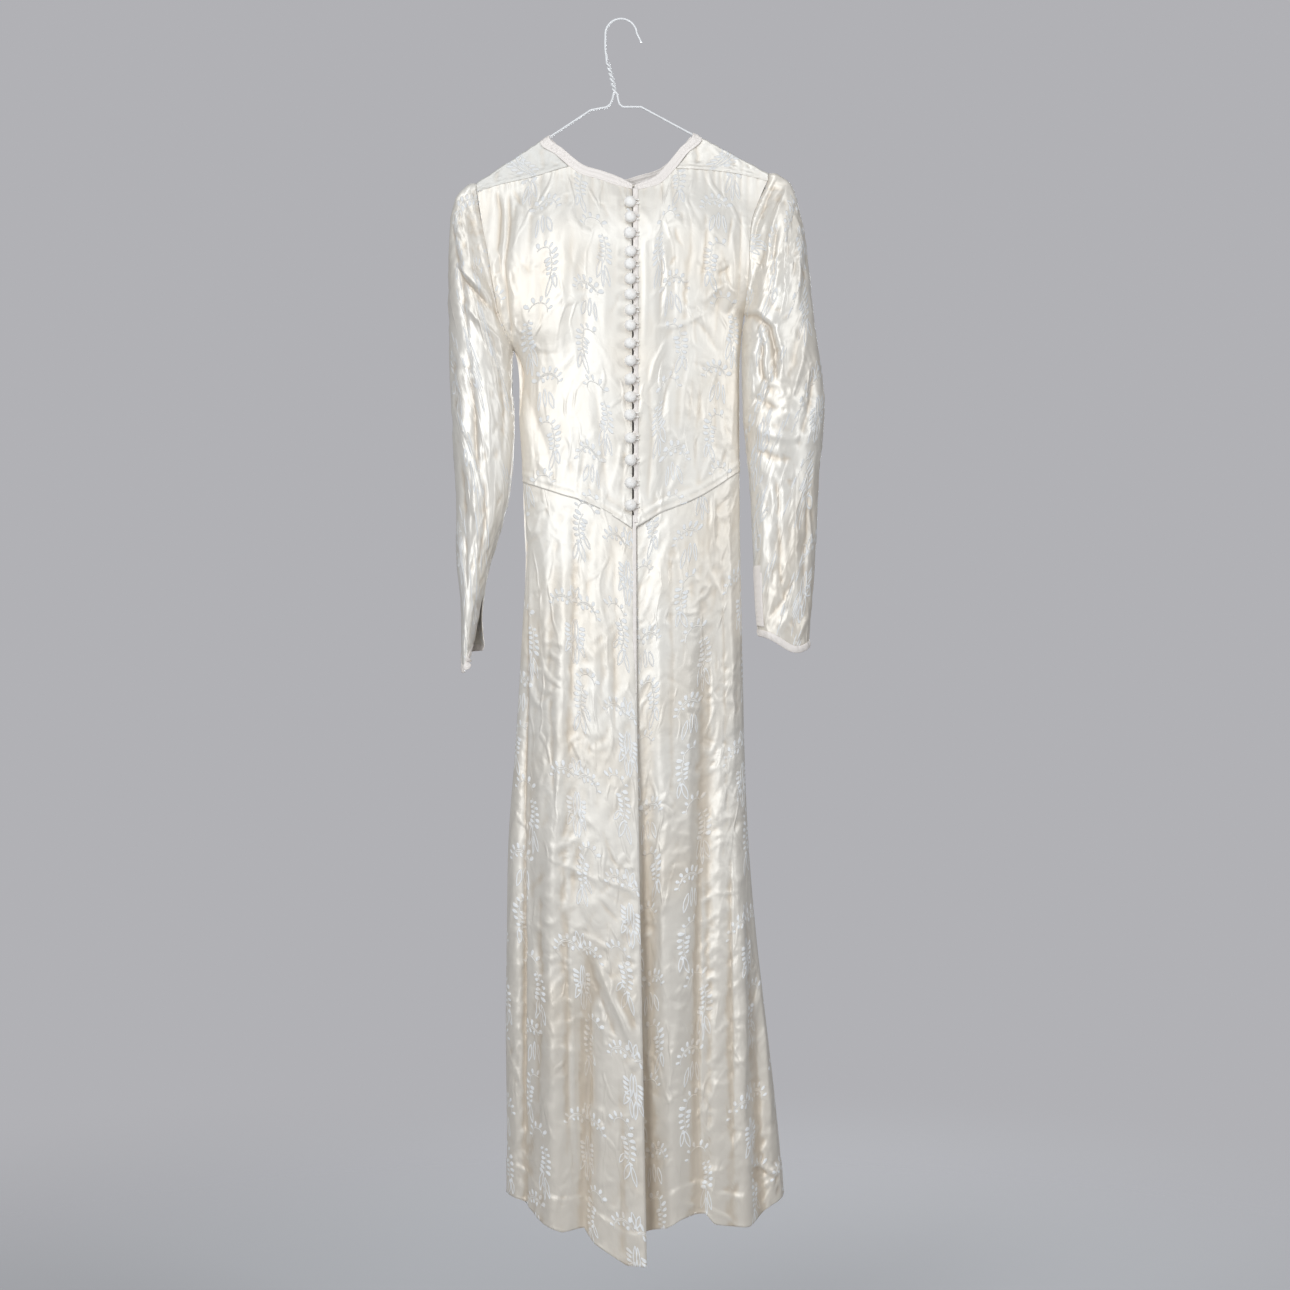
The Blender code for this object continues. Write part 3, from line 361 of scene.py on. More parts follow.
def one_crease(x, drop, crease):
    """The height that one crease adds: sharp along its line, soft at its foot, and none at its ends.

    One marked as a fold raises the cloth on one side of its line and sinks it on the other.
    """
    path = np.asarray(crease.path, float)
    lengths = np.linalg.norm(np.diff(path, axis=0), axis=1)
    starts = np.concatenate([[0.0], np.cumsum(lengths)])
    nearest = np.full(x.shape, 1e9)
    place, beside = np.zeros(x.shape), np.zeros(x.shape)
    for i, length in enumerate(lengths):
        way = (path[i + 1] - path[i]) / length
        dx, dz = x - path[i][0], drop - path[i][1]
        t = np.clip(dx * way[0] + dz * way[1], 0.0, length)
        gap = np.hypot(dx - t * way[0], dz - t * way[1])
        closer = gap < nearest
        nearest = np.where(closer, gap, nearest)
        place = np.where(closer, (starts[i] + t) / starts[-1], place)
        beside = np.where(closer, way[1] * dx - way[0] * dz, beside)
    swell = np.sin(math.pi * np.clip(place, 0.0, 1.0)) ** 0.7
    reach = crease.width * (TIP_WIDTH + (1 - TIP_WIDTH) * swell)
    if crease.fold:
        step = np.tanh(beside / (FOLD_STEP * reach))
        return crease.height * swell * step * np.exp(-((nearest / reach) ** 2))
    steps_out = np.clip(np.sqrt((nearest / reach) ** 2 + 0.010) - 0.1, 0.0, 1.0)
    return crease.height * swell * (1.0 - steps_out) ** 2


def crease_height(x, drop, creases):
    """The sum of the creases over a grid of places."""
    total = np.zeros(x.shape)
    for crease in creases:
        path = np.asarray(crease.path, float)
        margin = crease.width * (2.2 if crease.fold else 1.2)
        low_x, low_drop = path.min(axis=0) - margin
        high_x, high_drop = path.max(axis=0) + margin
        near = (x > low_x) & (x < high_x) & (drop > low_drop) & (drop < high_drop)
        if near.any():
            total[near] += one_crease(x[near], drop[near], crease)
    return total


def scattered(seed, count, area, lengths, widths, heights, lean, spread):
    """Small bent creases over an area, given as low x, high x, low drop and high drop."""
    rng = np.random.default_rng(seed)
    creases = []
    for _ in range(count):
        start = np.array([rng.uniform(area[0], area[1]), rng.uniform(area[2], area[3])])
        turn = rng.normal(lean, spread)
        length = rng.uniform(*lengths)
        bend = rng.normal(0.0, 0.35)
        step = length / 3
        path = [start]
        for part in range(3):
            angle = turn + bend * (part - 1)
            path.append(path[-1] + step * np.array([math.sin(angle), math.cos(angle)]))
        height = rng.uniform(*heights) * rng.choice([-1.0, 1.0])
        creases.append(Crease(path, rng.uniform(*widths), height))
    return creases


def ripple(x, drop, seed, length, height, stretch=1.0):
    """A gentle unevenness: a few long waves in seeded directions, drawn out down the cloth."""
    rng = np.random.default_rng(seed)
    total = np.zeros(x.shape)
    for _ in range(RIPPLE_WAVES):
        angle = rng.uniform(0, math.pi)
        size = length * rng.uniform(0.6, 1.6)
        phase = rng.uniform(0, 2 * math.pi)
        way = x * math.cos(angle) + drop * math.sin(angle) / stretch
        total += np.sin(2 * math.pi * way / size + phase)
    return total * height / RIPPLE_WAVES


off_line = np.array([0.0, 0.0025, 0.0050, 0.0100])
sample = one_crease(off_line, np.full(4, 0.05), crease_mm(10, 2, 0, 0, 0, 100))
print("a 2 mm crease is", (sample * 1000).round(2), "mm high", off_line * 1000, "mm off its line")


# %% [markdown]
# Between the main creases the cloth is crumpled all over. A smooth random field folded at its middle
# value gives exactly that look: sharp ridges that wander and branch, with flat facets between.

# %% Crumpled cloth
LATTICE = 64
OCTAVES, FINER, WEAKER = 3, 1.9, 0.42


def random_field(u, v, seed):
    """Smooth random values from 0 to 1 over a lattice of unit cells."""
    table = np.random.default_rng(seed).random((LATTICE, LATTICE))
    i, j = np.floor(u).astype(int), np.floor(v).astype(int)
    along_u, along_v = eased(u - i), eased(v - j)
    i, j, i_next, j_next = i % LATTICE, j % LATTICE, (i + 1) % LATTICE, (j + 1) % LATTICE
    upper = table[i, j] * (1 - along_u) + table[i_next, j] * along_u
    lower = table[i, j_next] * (1 - along_u) + table[i_next, j_next] * along_u
    return upper * (1 - along_v) + lower * along_v


def crumple(x, drop, seed, wide, tall, height):
    """Wandering sharp ridges, about this wide and tall apart, stronger in some places than others."""
    u, v = x / wide + 20.0, drop / tall + 20.0
    bent_u = u + 1.1 * random_field(u * 0.8, v * 0.8, seed + 1)
    bent_v = v + 1.1 * random_field(u * 0.8, v * 0.8, seed + 2)
    total, size = np.zeros(x.shape), 1.0
    for octave in range(OCTAVES):
        field = random_field(bent_u * FINER ** octave, bent_v * FINER ** octave, seed + 3 + octave)
        total = total + size * (1 - np.abs(2 * field - 1)) ** 1.4
        size *= WEAKER
    strength = 0.25 + 0.75 * eased(1.8 * random_field(u * 0.45, v * 0.45, seed + 9) - 0.4)
    return height * strength * (total - 0.75)


sample = crumple(*np.meshgrid(np.linspace(0.0, 0.1, 50), np.linspace(0.0, 0.1, 50)), 1, 0.014, 0.034, 0.001)
print("1 mm of crumple runs from", round(sample.min() * 1000, 2), "to", round(sample.max() * 1000, 2), "mm")


# %% [markdown]
# ## From a grid of points to cloth
#
# A panel is a grid of points with its rows across and its columns down. It could be made thick by
# hand, but Blender's Solidify modifier gives each sheet its wall and its edges. The flat cloth's own
# measure, in metres along and across the grain, goes into a UV layer for the woven figure to follow.
# How deep each point lies in a crease is stored too, so that the satin can paint shade into its creases.


# %% Cloth tools
def spaced(count, start=False, end=False):
    """Fractions from 0 to 1, closer together where the sheet turns away at its side."""
    t = np.linspace(0.0, 1.0, count)
    if start and end:
        return (1 - np.cos(math.pi * t)) / 2
    if start:
        return 1 - np.cos(math.pi / 2 * t)
    if end:
        return np.sin(math.pi / 2 * t)
    return t


def facing(points, side):
    """The unit normals of a grid, on the side that looks outwards."""
    down = np.gradient(points, axis=0)
    across = np.gradient(points, axis=1)
    normals = np.cross(across, down)
    normals = normals / np.maximum(np.linalg.norm(normals, axis=-1, keepdims=True), 1e-12)
    return normals * side


def moved_out(points, distance, side):
    return points + facing(points, side) * np.asarray(distance)[..., None]


def flat_measure(points, anchor, start=(0.0, 0.0)):
    """Distances across and down the cloth, counted from one column and the top row."""
    across = np.zeros(points.shape[:2])
    across[:, 1:] = np.cumsum(np.linalg.norm(np.diff(points, axis=1), axis=-1), axis=1)
    down = np.zeros(points.shape[:2])
    down[1:] = np.cumsum(np.linalg.norm(np.diff(points, axis=0), axis=-1), axis=0)
    return np.stack([across - across[:, anchor:anchor + 1] + start[0], down + start[1]], axis=-1)


HOLLOW_REACH, HOLLOW_DEEP = 4, 0.0011


def levelled(points, reach):
    """The grid with every point moved to the mean of its neighbours, this many to each side."""
    for axis in (0, 1):
        ends = [np.repeat(points.take([end], axis), reach + 1, axis) for end in (0, -1)]
        total = np.cumsum(np.concatenate([ends[0], points, ends[1]], axis), axis)
        count, window = points.shape[axis], 2 * reach + 1
        last = total.take(range(window, window + count), axis)
        points = (last - total.take(range(count), axis)) / window
    return points


def hollows(points, side):
    """From 0 on ridges and flats to 1 in the creases."""
    below = levelled(points, HOLLOW_REACH) - points
    return np.clip((below * facing(points, side)).sum(axis=-1) / HOLLOW_DEEP, 0.0, 1.0)


def add_cloth(name, points, measure, material, nodes, side, thickness=CLOTH):
    """Makes a grid into a thin sheet that stands for the plain nodes named; side is as in facing."""
    rows, columns = points.shape[:2]
    corner = (np.arange(rows - 1)[:, None] * columns + np.arange(columns - 1)).reshape(-1)
    quads = np.stack([corner, corner + columns, corner + columns + 1, corner + 1], axis=1)
    if side > 0:
        quads = quads[:, ::-1]
    mesh = bpy.data.meshes.new(name)
    mesh.from_pydata(points.reshape(-1, 3), [], quads.tolist())
    layer = mesh.uv_layers.new(name="cloth")
    layer.data.foreach_set("uv", measure.reshape(-1, 2)[quads.reshape(-1)].reshape(-1))
    mesh.shade_smooth()
    # How deep each point lies in a crease, for the shade painted into the creases.
    hollow = mesh.attributes.new("hollow", "FLOAT", "POINT")
    hollow.data.foreach_set("value", hollows(points, side).reshape(-1).astype(np.float32))
    mesh.materials.append(material)
    sheet = bpy.data.objects.new(name, mesh)
    bpy.context.scene.collection.objects.link(sheet)
    wall = sheet.modifiers.new("wall", "SOLIDIFY")
    wall.thickness = thickness
    wall.offset = 0.0
    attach(sheet, "root")
    if nodes:
        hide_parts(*nodes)
    steps = np.cross(points[1:, :-1] - points[:-1, :-1], points[:-1, 1:] - points[:-1, :-1])
    print(name, rows, "x", columns, "area", round(float(np.linalg.norm(steps, axis=-1).sum()), 4), "m2")
    return sheet


# %% [markdown]
# ## Figured satin
#
# The cloth is a damask: one thread, woven so that the ground shows long glossy floats and the figure
# shows short ones. In full light the ground is the brighter of the two, and in shade the figure is.
# The bodice hangs in full light and the skirt in shade, so the figure is greyer above and whiter
# below, with less gloss than its ground. It is a spray of lily of the valley: rows of small bells
# along bent stems, and slim leaves. It could be painted as a picture, but a few node groups draw it
# at any size with sharp edges.

# %% A row of bells along a bent stem
BELL_INPUTS = ("x", "y", "centre x", "centre y", "radius", "start", "sweep", "bells", "length", "width")
TIP_BELL = 0.6
THROAT, FLARE = 0.29, 0.22
BELL_MIDDLE, BELL_HALF = 0.62, 0.46
STEM_HALF = 0.80


def group_of(name, inputs):
    group = bpy.data.node_groups.new(name, "ShaderNodeTree")
    for label in inputs:
        group.interface.new_socket(label, in_out="INPUT", socket_type="NodeSocketFloat")
    group.interface.new_socket("mask", in_out="OUTPUT", socket_type="NodeSocketFloat")
    given = group.nodes.new("NodeGroupInput").outputs
    result = group.nodes.new("NodeGroupOutput").inputs["mask"]
    return group, given, result


def make_bell_row():
    """Bells outside a round stem, or inside it for a length below zero, smallest at its tip."""
    group, given, result = group_of("bell_row", BELL_INPUTS)
    m = partial(maths, group)
    dx = m("SUBTRACT", given["x"], given["centre x"])
    dy = m("SUBTRACT", given["y"], given["centre y"])
    reach = m("SQRT", m("ADD", m("MULTIPLY", dx, dx), m("MULTIPLY", dy, dy)))
    turn = m("FLOORED_MODULO", m("SUBTRACT", m("ARCTAN2", dy, dx), given["start"]), 2 * math.pi)
    place = m("MULTIPLY", m("DIVIDE", turn, given["sweep"]), given["bells"])
    inside = m("LESS_THAN", place, given["bells"])
    off = m("SUBTRACT", m("FRACT", place), 0.5)
    sideways = m("MULTIPLY", m("MULTIPLY", off, m("DIVIDE", given["sweep"], given["bells"])), reach)
    grown = m("MULTIPLY_ADD", m("DIVIDE", place, given["bells"]), 1.0 - TIP_BELL, TIP_BELL)
    outwards = m("DIVIDE", m("SUBTRACT", reach, given["radius"]), m("MULTIPLY", given["length"], grown))
    flare = m("MULTIPLY", m("MULTIPLY_ADD", outwards, FLARE, THROAT), grown)
    wide = m("DIVIDE", sideways, m("MULTIPLY", given["width"], flare))
    tall = m("DIVIDE", m("SUBTRACT", outwards, BELL_MIDDLE), BELL_HALF)
    shape = m("SQRT", m("ADD", m("MULTIPLY", wide, wide), m("MULTIPLY", tall, tall)))
    bell = m("MULTIPLY", m("SUBTRACT", 1.1, shape), 5.0, clamp=True)
    stem_gap = m("ABSOLUTE", m("SUBTRACT", reach, given["radius"]))
    stem = m("MULTIPLY", m("SUBTRACT", STEM_HALF, stem_gap), 0.9, clamp=True)
    group.links.new(m("MULTIPLY", inside, m("MAXIMUM", bell, stem)), result)
    print("a row of bells is", len(group.nodes), "nodes")
    return group


bell_row = make_bell_row()


# %% A slim leaf, drawn as an outline
LEAF_INPUTS = ("x", "y", "centre x", "centre y", "turn", "half length", "half width")
OUTLINE_HALF = 0.95


def make_leaf():
    group, given, result = group_of("leaf", LEAF_INPUTS)
    m = partial(maths, group)
    dx = m("SUBTRACT", given["x"], given["centre x"])
    dy = m("SUBTRACT", given["y"], given["centre y"])
    cos = m("COSINE", given["turn"])
    sin = m("SINE", given["turn"])
    lengthwise = m("ADD", m("MULTIPLY", dx, cos), m("MULTIPLY", dy, sin))
    across = m("SUBTRACT", m("MULTIPLY", dy, cos), m("MULTIPLY", dx, sin))
    t = m("DIVIDE", lengthwise, given["half length"])
    room = m("MAXIMUM", m("SUBTRACT", 1.0, m("MULTIPLY", t, t)), 0.0)
    half = m("MULTIPLY", room, given["half width"])
    edge = m("ABSOLUTE", m("SUBTRACT", m("ABSOLUTE", across), half))
    line = m("MULTIPLY", m("SUBTRACT", OUTLINE_HALF, edge), 2.2, clamp=True)
    inside = m("LESS_THAN", m("ABSOLUTE", t), 1.0)
    group.links.new(m("MULTIPLY", inside, line), result)
    print("a leaf is", len(group.nodes), "nodes")
    return group


leaf = make_leaf()


# %% The sprays of one repeat, in millimetres from the repeat's middle
REPEAT_WIDE, REPEAT_TALL = 0.158, 0.219
Bells = namedtuple("Bells", "x y radius start sweep bells length width")
Leaf = namedtuple("Leaf", "x y turn half_length half_width")
TWIN_SPRAY_AT = (-40.0, 52.0)
TWIN_SPRAY = (
    Bells(16.0, -2.0, 15.0, -10, 165, 6, 10.0, 6.2),
    Bells(16.0, -4.0, 15.0, 30, 110, 3, -7.5, 5.0),
    Bells(-33.0, -34.0, 38.0, -22, 40, 5, 9.5, 5.8),
    Leaf(2.2, -28.0, 92, 15.0, 2.2),
    Leaf(8.0, -46.0, 112, 13.0, 3.0),
    Leaf(2.6, -58.0, 86, 12.0, 2.4),
    Leaf(3.0, 20.0, 76, 9.0, 2.4),
)
SINGLE_SPRAYS = (
    Bells(-86.0, -62.0, 40.0, -26, 58, 6, 10.0, 6.0),
    Bells(-86.0, -62.0, 40.0, -22, 48, 5, -9.5, 6.0),
    Bells(-57.0, -38.0, 12.0, 10, 160, 5, 9.0, 5.8),
    Leaf(-50.0, -90.0, 72, 13.0, 3.2),
    Leaf(-41.0, -92.0, 104, 12.0, 2.8),
    Leaf(-57.0, -76.0, 60, 9.0, 2.4),
    Bells(66.0, -8.0, 42.0, 150, 56, 6, -10.0, 6.2),
    Bells(66.0, -8.0, 42.0, 154, 46, 5, 9.5, 6.0),
    Bells(41.0, 18.0, 13.0, -10, 170, 5, 9.5, 5.8),
    Leaf(33.0, -34.0, 104, 14.0, 3.0),
    Leaf(22.0, -40.0, 74, 13.0, 2.8),
    Leaf(28.0, -46.0, 90, 11.0, 1.6),
    Bells(20.0, 72.0, 40.0, -26, 50, 5, 10.0, 6.0),
    Bells(20.0, 72.0, 40.0, -20, 38, 4, -9.5, 6.0),
    Bells(47.0, 87.0, 11.0, -20, 150, 4, 8.5, 5.6),
    Leaf(56.0, 46.0, 70, 12.0, 3.0),
    Leaf(64.0, 50.0, 100, 10.0, 2.6),
    Bells(50.0, -74.0, 15.0, -10, 175, 7, 10.0, 6.2),
    Bells(50.0, -76.0, 15.0, 30, 110, 3, -7.5, 5.0),
    Leaf(39.0, -93.0, 84, 12.0, 1.8),
    Leaf(56.0, -95.0, 106, 12.0, 3.0),
    Leaf(47.0, -90.0, 94, 12.0, 2.2),
)


def make_figure():
    """The whole woven figure as a mask over the cloth's own measure."""
    group, given, result = group_of("woven_figure", ("across", "down"))
    m = partial(maths, group)

    def drawn(piece, x, y):
        made = group.nodes.new("ShaderNodeGroup")
        made.node_tree = bell_row if isinstance(piece, Bells) else leaf
        group.links.new(x, made.inputs["x"])
        group.links.new(y, made.inputs["y"])
        labels = BELL_INPUTS[2:] if isinstance(piece, Bells) else LEAF_INPUTS[2:]
        for label, value in zip(labels, piece):
            value = math.radians(value) if label in ("start", "sweep", "turn") else value
            made.inputs[label].default_value = value
        return made.outputs["mask"]

    column_number = m("FLOOR", m("DIVIDE", given["across"], REPEAT_WIDE))
    odd = m("FLOORED_MODULO", column_number, 2.0)
    shifted = m("MULTIPLY_ADD", odd, REPEAT_TALL / 2, given["down"])
    across = m("FRACT", m("DIVIDE", given["across"], REPEAT_WIDE))
    x = m("SUBTRACT", m("MULTIPLY", across, REPEAT_WIDE * 1000), REPEAT_WIDE * 500)
    x = m("MULTIPLY", x, m("MULTIPLY_ADD", odd, -2.0, 1.0))
    down = m("FRACT", m("DIVIDE", shifted, REPEAT_TALL))
    y = m("SUBTRACT", REPEAT_TALL * 500, m("MULTIPLY", down, REPEAT_TALL * 1000))
    twin_x = m("ABSOLUTE", m("SUBTRACT", x, TWIN_SPRAY_AT[0]))
    twin_y = m("SUBTRACT", y, TWIN_SPRAY_AT[1])
    masks = [drawn(piece, twin_x, twin_y) for piece in TWIN_SPRAY]
    masks += [drawn(piece, x, y) for piece in SINGLE_SPRAYS]
    while len(masks) > 1:
        masks = [m("MAXIMUM", *masks[i:i + 2]) if i + 1 < len(masks) else masks[i]
                 for i in range(0, len(masks), 2)]
    group.links.new(masks[0], result)
    return group


figure = make_figure()
print("the figure repeats every", REPEAT_WIDE, "by", REPEAT_TALL, "m")


# %% [markdown]
# The satin's gloss is longer across the threads than along them, so the shader's anisotropy follows
# the cloth's own grain. Fine wrinkles, pressed fold lines, the threads and the figure's edges are too
# small to model, and go into the bump. Warm colour gathers in patches, as it does in old silk, and
# shade is painted towards the hem and into the creases, darker and warmer. The left yoke's satin is
# duller than the rest, and its colour is painted darker as shade.

# %% The satin
GROUND = (0.825, 0.782, 0.708, 1.0)
# Worn patches, and painted shade towards the hem.
GROUND_WORN_AND_SHADED = (0.780, 0.708, 0.605, 1.0)
# Painted shade for the creases.
PAINTED_CREASE_SHADE = (0.620, 0.510, 0.380, 1.0)
FIGURE = (0.965, 0.960, 0.942, 1.0)
FIGURE_IN_FULL_LIGHT = (0.775, 0.770, 0.755, 1.0)
# The left yoke's ground colours, painted darker as shade.
DULL_SHADED_GROUND = (0.700, 0.675, 0.620, 1.0)
DULL_SHADED_GROUND_WORN = (0.670, 0.632, 0.565, 1.0)
LUSTRE, FIGURE_LUSTRE = 0.27, 0.06
CREASE_SHADE_SHARE = 0.62
HEM_SHADE_FROM, HEM_SHADE_TO, HEM_SHADE_AMOUNT = 0.70, 1.40, 0.8
LIT_TO, SHADED_FROM = 0.40, 0.85
THREAD_SCALE, NET_SCALE = (2600.0, 160.0, 1.0), (34.0, 13.0, 1.0)


def with_wear_and_hem_shade(tree, cloth, down, clean, worn_and_shaded):
    """The ground's colour: warmer in worn patches, and painted shade, darker and warmer, towards the hem.
    """
    patches = ranged(tree, noise(tree, cloth, 6.0, 3.0), 0.42, 0.68)
    # Painted shade: darker and warmer towards the hem.
    lower = ranged(tree, down, HEM_SHADE_FROM, HEM_SHADE_TO, 0.0, HEM_SHADE_AMOUNT)
    return mixed(tree, maths(tree, "MAXIMUM", patches, lower), clean, worn_and_shaded)


def fold_lines(tree, cloth):
    """Sharp lines between the cells of a bent net, in some places only."""
    away = noise(tree, cloth, 11.0, 2.0, "Color")
    away = node(tree, "VectorMath", {0: away, 1: (0.045, 0.045, 0.0)}, operation="MULTIPLY").outputs[0]
    bent = node(tree, "VectorMath", {0: cloth, 1: away}, operation="ADD").outputs[0]
    net = node(tree, "Mapping", {"Vector": bent, "Rotation": (0.0, 0.0, 0.3), "Scale": NET_SCALE})
    to_line = node(tree, "TexVoronoi", {"Vector": net.outputs[0], "Scale": 1.0, "Randomness": 1.0},
                   feature="DISTANCE_TO_EDGE").outputs["Distance"]
    line = ranged(tree, to_line, 0.0, 0.11, 1.0, 0.0, "SMOOTHERSTEP")
    return maths(tree, "MULTIPLY", line, ranged(tree, noise(tree, cloth, 17.0, 2.0), 0.44, 0.62))


def make_satin(name, gloss=LUSTRE, clean=GROUND, worn_and_shaded=GROUND_WORN_AND_SHADED):
    tree, shader, material = new_material(name)
    m = partial(maths, tree)
    cloth = node(tree, "UVMap", uv_map="cloth").outputs[0]
    across, down, _ = node(tree, "SeparateXYZ", {0: cloth}).outputs
    drawn = tree.nodes.new("ShaderNodeGroup")
    drawn.node_tree = figure
    tree.links.new(across, drawn.inputs["across"])
    tree.links.new(down, drawn.inputs["down"])
    mask = drawn.outputs["mask"]

    ground = with_wear_and_hem_shade(tree, cloth, down, clean, worn_and_shaded)
    drawing = mixed(tree, ranged(tree, down, LIT_TO, SHADED_FROM), FIGURE_IN_FULL_LIGHT, FIGURE)
    hollow = tree.nodes.new("ShaderNodeAttribute")
    hollow.attribute_name = "hollow"
    # Painted shade: the colour darkens towards brown in the creases, by crease depth.
    crease_shade = m("MULTIPLY", hollow.outputs["Fac"], CREASE_SHADE_SHARE)
    colour = mixed(tree, crease_shade, mixed(tree, mask, ground, drawing), PAINTED_CREASE_SHADE)
    tree.links.new(colour, shader.inputs["Base Color"])

    stretched = node(tree, "Mapping", {"Vector": cloth, "Scale": THREAD_SCALE}).outputs[0]
    threads = noise(tree, stretched, 1.0, 2.0)
    crumpled = noise(tree, cloth, 38.0, 3.0, Roughness=0.55, Distortion=0.9)
    pressed = node(tree, "TexVoronoi", {"Vector": cloth, "Scale": 26.0, "Randomness": 1.0},
                   feature="F1").outputs["Distance"]
    height = m("MULTIPLY_ADD", crumpled, 0.75, m("MULTIPLY", pressed, 0.32))
    height = m("MULTIPLY_ADD", fold_lines(tree, cloth), 0.9, height)
    height = m("MULTIPLY_ADD", threads, 0.035, height)
    height = m("MULTIPLY_ADD", mask, 0.85, height)
    add_bump(tree, shader, height, 0.55, 0.0011)

    roughness = m("MULTIPLY_ADD", mask, 0.18, m("MULTIPLY_ADD", threads, 0.10, 0.42))
    tree.links.new(roughness, shader.inputs["Roughness"])
    lustre = m("MULTIPLY_ADD", mask, FIGURE_LUSTRE - gloss, gloss)
    tree.links.new(lustre, shader.inputs["Metallic"])
    grain = node(tree, "Tangent", direction_type="UV_MAP", uv_map="cloth")
    tree.links.new(grain.outputs[0], shader.inputs["Tangent"])
    shader.inputs["Anisotropic"].default_value = 0.55
    shader.inputs["Specular IOR Level"].default_value = 0.85
    shader.inputs["Sheen Weight"].default_value = 0.25
    shader.inputs["Sheen Roughness"].default_value = 0.45
    return material


satin = make_satin("figured_satin")
# The left yoke's satin: less gloss, and its colour painted darker as shade.
dull_shaded_satin = make_satin("dull_shaded_figured_satin", 0.08, DULL_SHADED_GROUND, DULL_SHADED_GROUND_WORN)


# %% [markdown]
# ## Back bodice
#
# The bodice's back is cut in two, one half on each side of the buttoned opening. Each half is bounded
# by four seams: the neck and yoke above, the waist below, the opening, and the armhole with the side
# seam. A patch between four curves (a Coons patch) gives a sheet whose edges lie exactly on its seams.

# %% Seams of the bodice
Edge = namedtuple("Edge", "rim_x rim_drop seam_x seam_drop")
NECK_BACK_LEFT = (
    Edge(0.0147, 0.2163, 0.0147, 0.2227),
    Edge(-0.0039, 0.2059, -0.0070, 0.2160),
    Edge(-0.0255, 0.1976, -0.0292, 0.2078),
    Edge(-0.0494, 0.1895, -0.0548, 0.1990),
    Edge(-0.0602, 0.1814, -0.0675, 0.1893),
    Edge(-0.0748, 0.1685, -0.0828, 0.1757),
)
NECK_BACK_RIGHT = (
    Edge(0.0175, 0.2180, 0.0175, 0.2245),
    Edge(0.0442, 0.2054, 0.0490, 0.2148),
    Edge(0.0611, 0.1870, 0.0705, 0.1925),
    Edge(0.0765, 0.1675, 0.0852, 0.1735),
)
NECK_FRONT = (
    Edge(-0.0700, 0.1745, -0.0780, 0.1815),
    Edge(-0.0400, 0.1965, -0.0448, 0.2060),
    Edge(-0.0040, 0.2068, -0.0052, 0.2172),
    Edge(0.0250, 0.2000, 0.0285, 0.2100),
    Edge(0.0494, 0.1926, 0.0560, 0.2008),
    Edge(0.0700, 0.1760, 0.0785, 0.1820),
)
OPENING_LEFT, OPENING_RIGHT = 0.0147, 0.0175
YOKE_LEFT_BACK = ((-0.0681, 0.1896), (-0.1183, 0.2041), (-0.1573, 0.2122), (-0.1874, 0.2215))
YOKE_RIGHT_BACK = ((0.0711, 0.1928), (0.1027, 0.1937), (0.1547, 0.1989), (0.1908, 0.2075))
YOKE_LEFT_FRONT = ((-0.0787, 0.1818), (-0.1180, 0.2040), (-0.1560, 0.2215), (-0.1851, 0.2360))
YOKE_RIGHT_FRONT = ((0.0792, 0.1823), (0.1180, 0.1975), (0.1560, 0.2080), (0.1857, 0.2200))
ARMHOLE_LEFT = (
    (-0.1880, 0.2124), (-0.1872, 0.2236), (-0.1794, 0.2704), (-0.1694, 0.3185),
    (-0.1630, 0.3614), (-0.1525, 0.4000), (-0.1391, 0.4290),
)
ARMHOLE_RIGHT = (
    (0.1915, 0.1995), (0.1905, 0.2090), (0.1795, 0.2340), (0.1700, 0.2600),
    (0.1660, 0.2950), (0.1645, 0.3400), (0.1600, 0.3820),
)
SIDE_LEFT = ((-0.1391, 0.4290), (-0.1315, 0.5300), (-0.1270, 0.5987))
SIDE_RIGHT = ((0.1600, 0.3820), (0.1570, 0.4030), (0.1548, 0.4290), (0.1535, 0.5300), (0.1538, 0.5845))
WAIST_BACK_LEFT = (
    (-0.1270, 0.5987), (-0.0811, 0.6149), (-0.0446, 0.6266), (-0.0117, 0.6435), (0.0195, 0.6640),
)
WAIST_BACK_RIGHT = (
    (0.0075, 0.6650), (0.0221, 0.6578), (0.0481, 0.6418), (0.0845, 0.6273), (0.1066, 0.6162),
    (0.1538, 0.5845),
)
WAIST_FRONT = ((-0.1270, 0.5987), (-0.0600, 0.6200), (0.0147, 0.6380), (0.0900, 0.6160), (0.1538, 0.5845))
WAIST_LAP = 0.0030


def patch(top, foot, inner, outer, a, b):
    """Fills four seams: a runs from the inner to the outer one, b from the top to the foot."""
    a, b = a[..., None], b[..., None]
    level = (1 - b) * along(top, a[..., 0]) + b * along(foot, a[..., 0])
    upright = (1 - a) * along(inner, b[..., 0]) + a * along(outer, b[..., 0])
    upper = (1 - a) * np.asarray(top[0]) + a * np.asarray(top[-1])
    lower = (1 - a) * np.asarray(foot[0]) + a * np.asarray(foot[-1])
    return level + upright - ((1 - b) * upper + b * lower)


def below_yoke(armhole, side, first):
    """The armhole and side seam below the yoke, starting at the yoke's own end."""
    seam = [point for point in list(armhole) + list(side[1:]) if point[1] > first[1] + 0.004]
    return [tuple(first)] + seam


def waist_points(seam, first_x, last_x, extra=0.0):
    places = np.linspace(first_x, last_x, 9)
    drops = curve_through([point[0] for point in seam], [point[1] for point in seam], places)
    return [(x, drop + extra) for x, drop in zip(places, drops)]
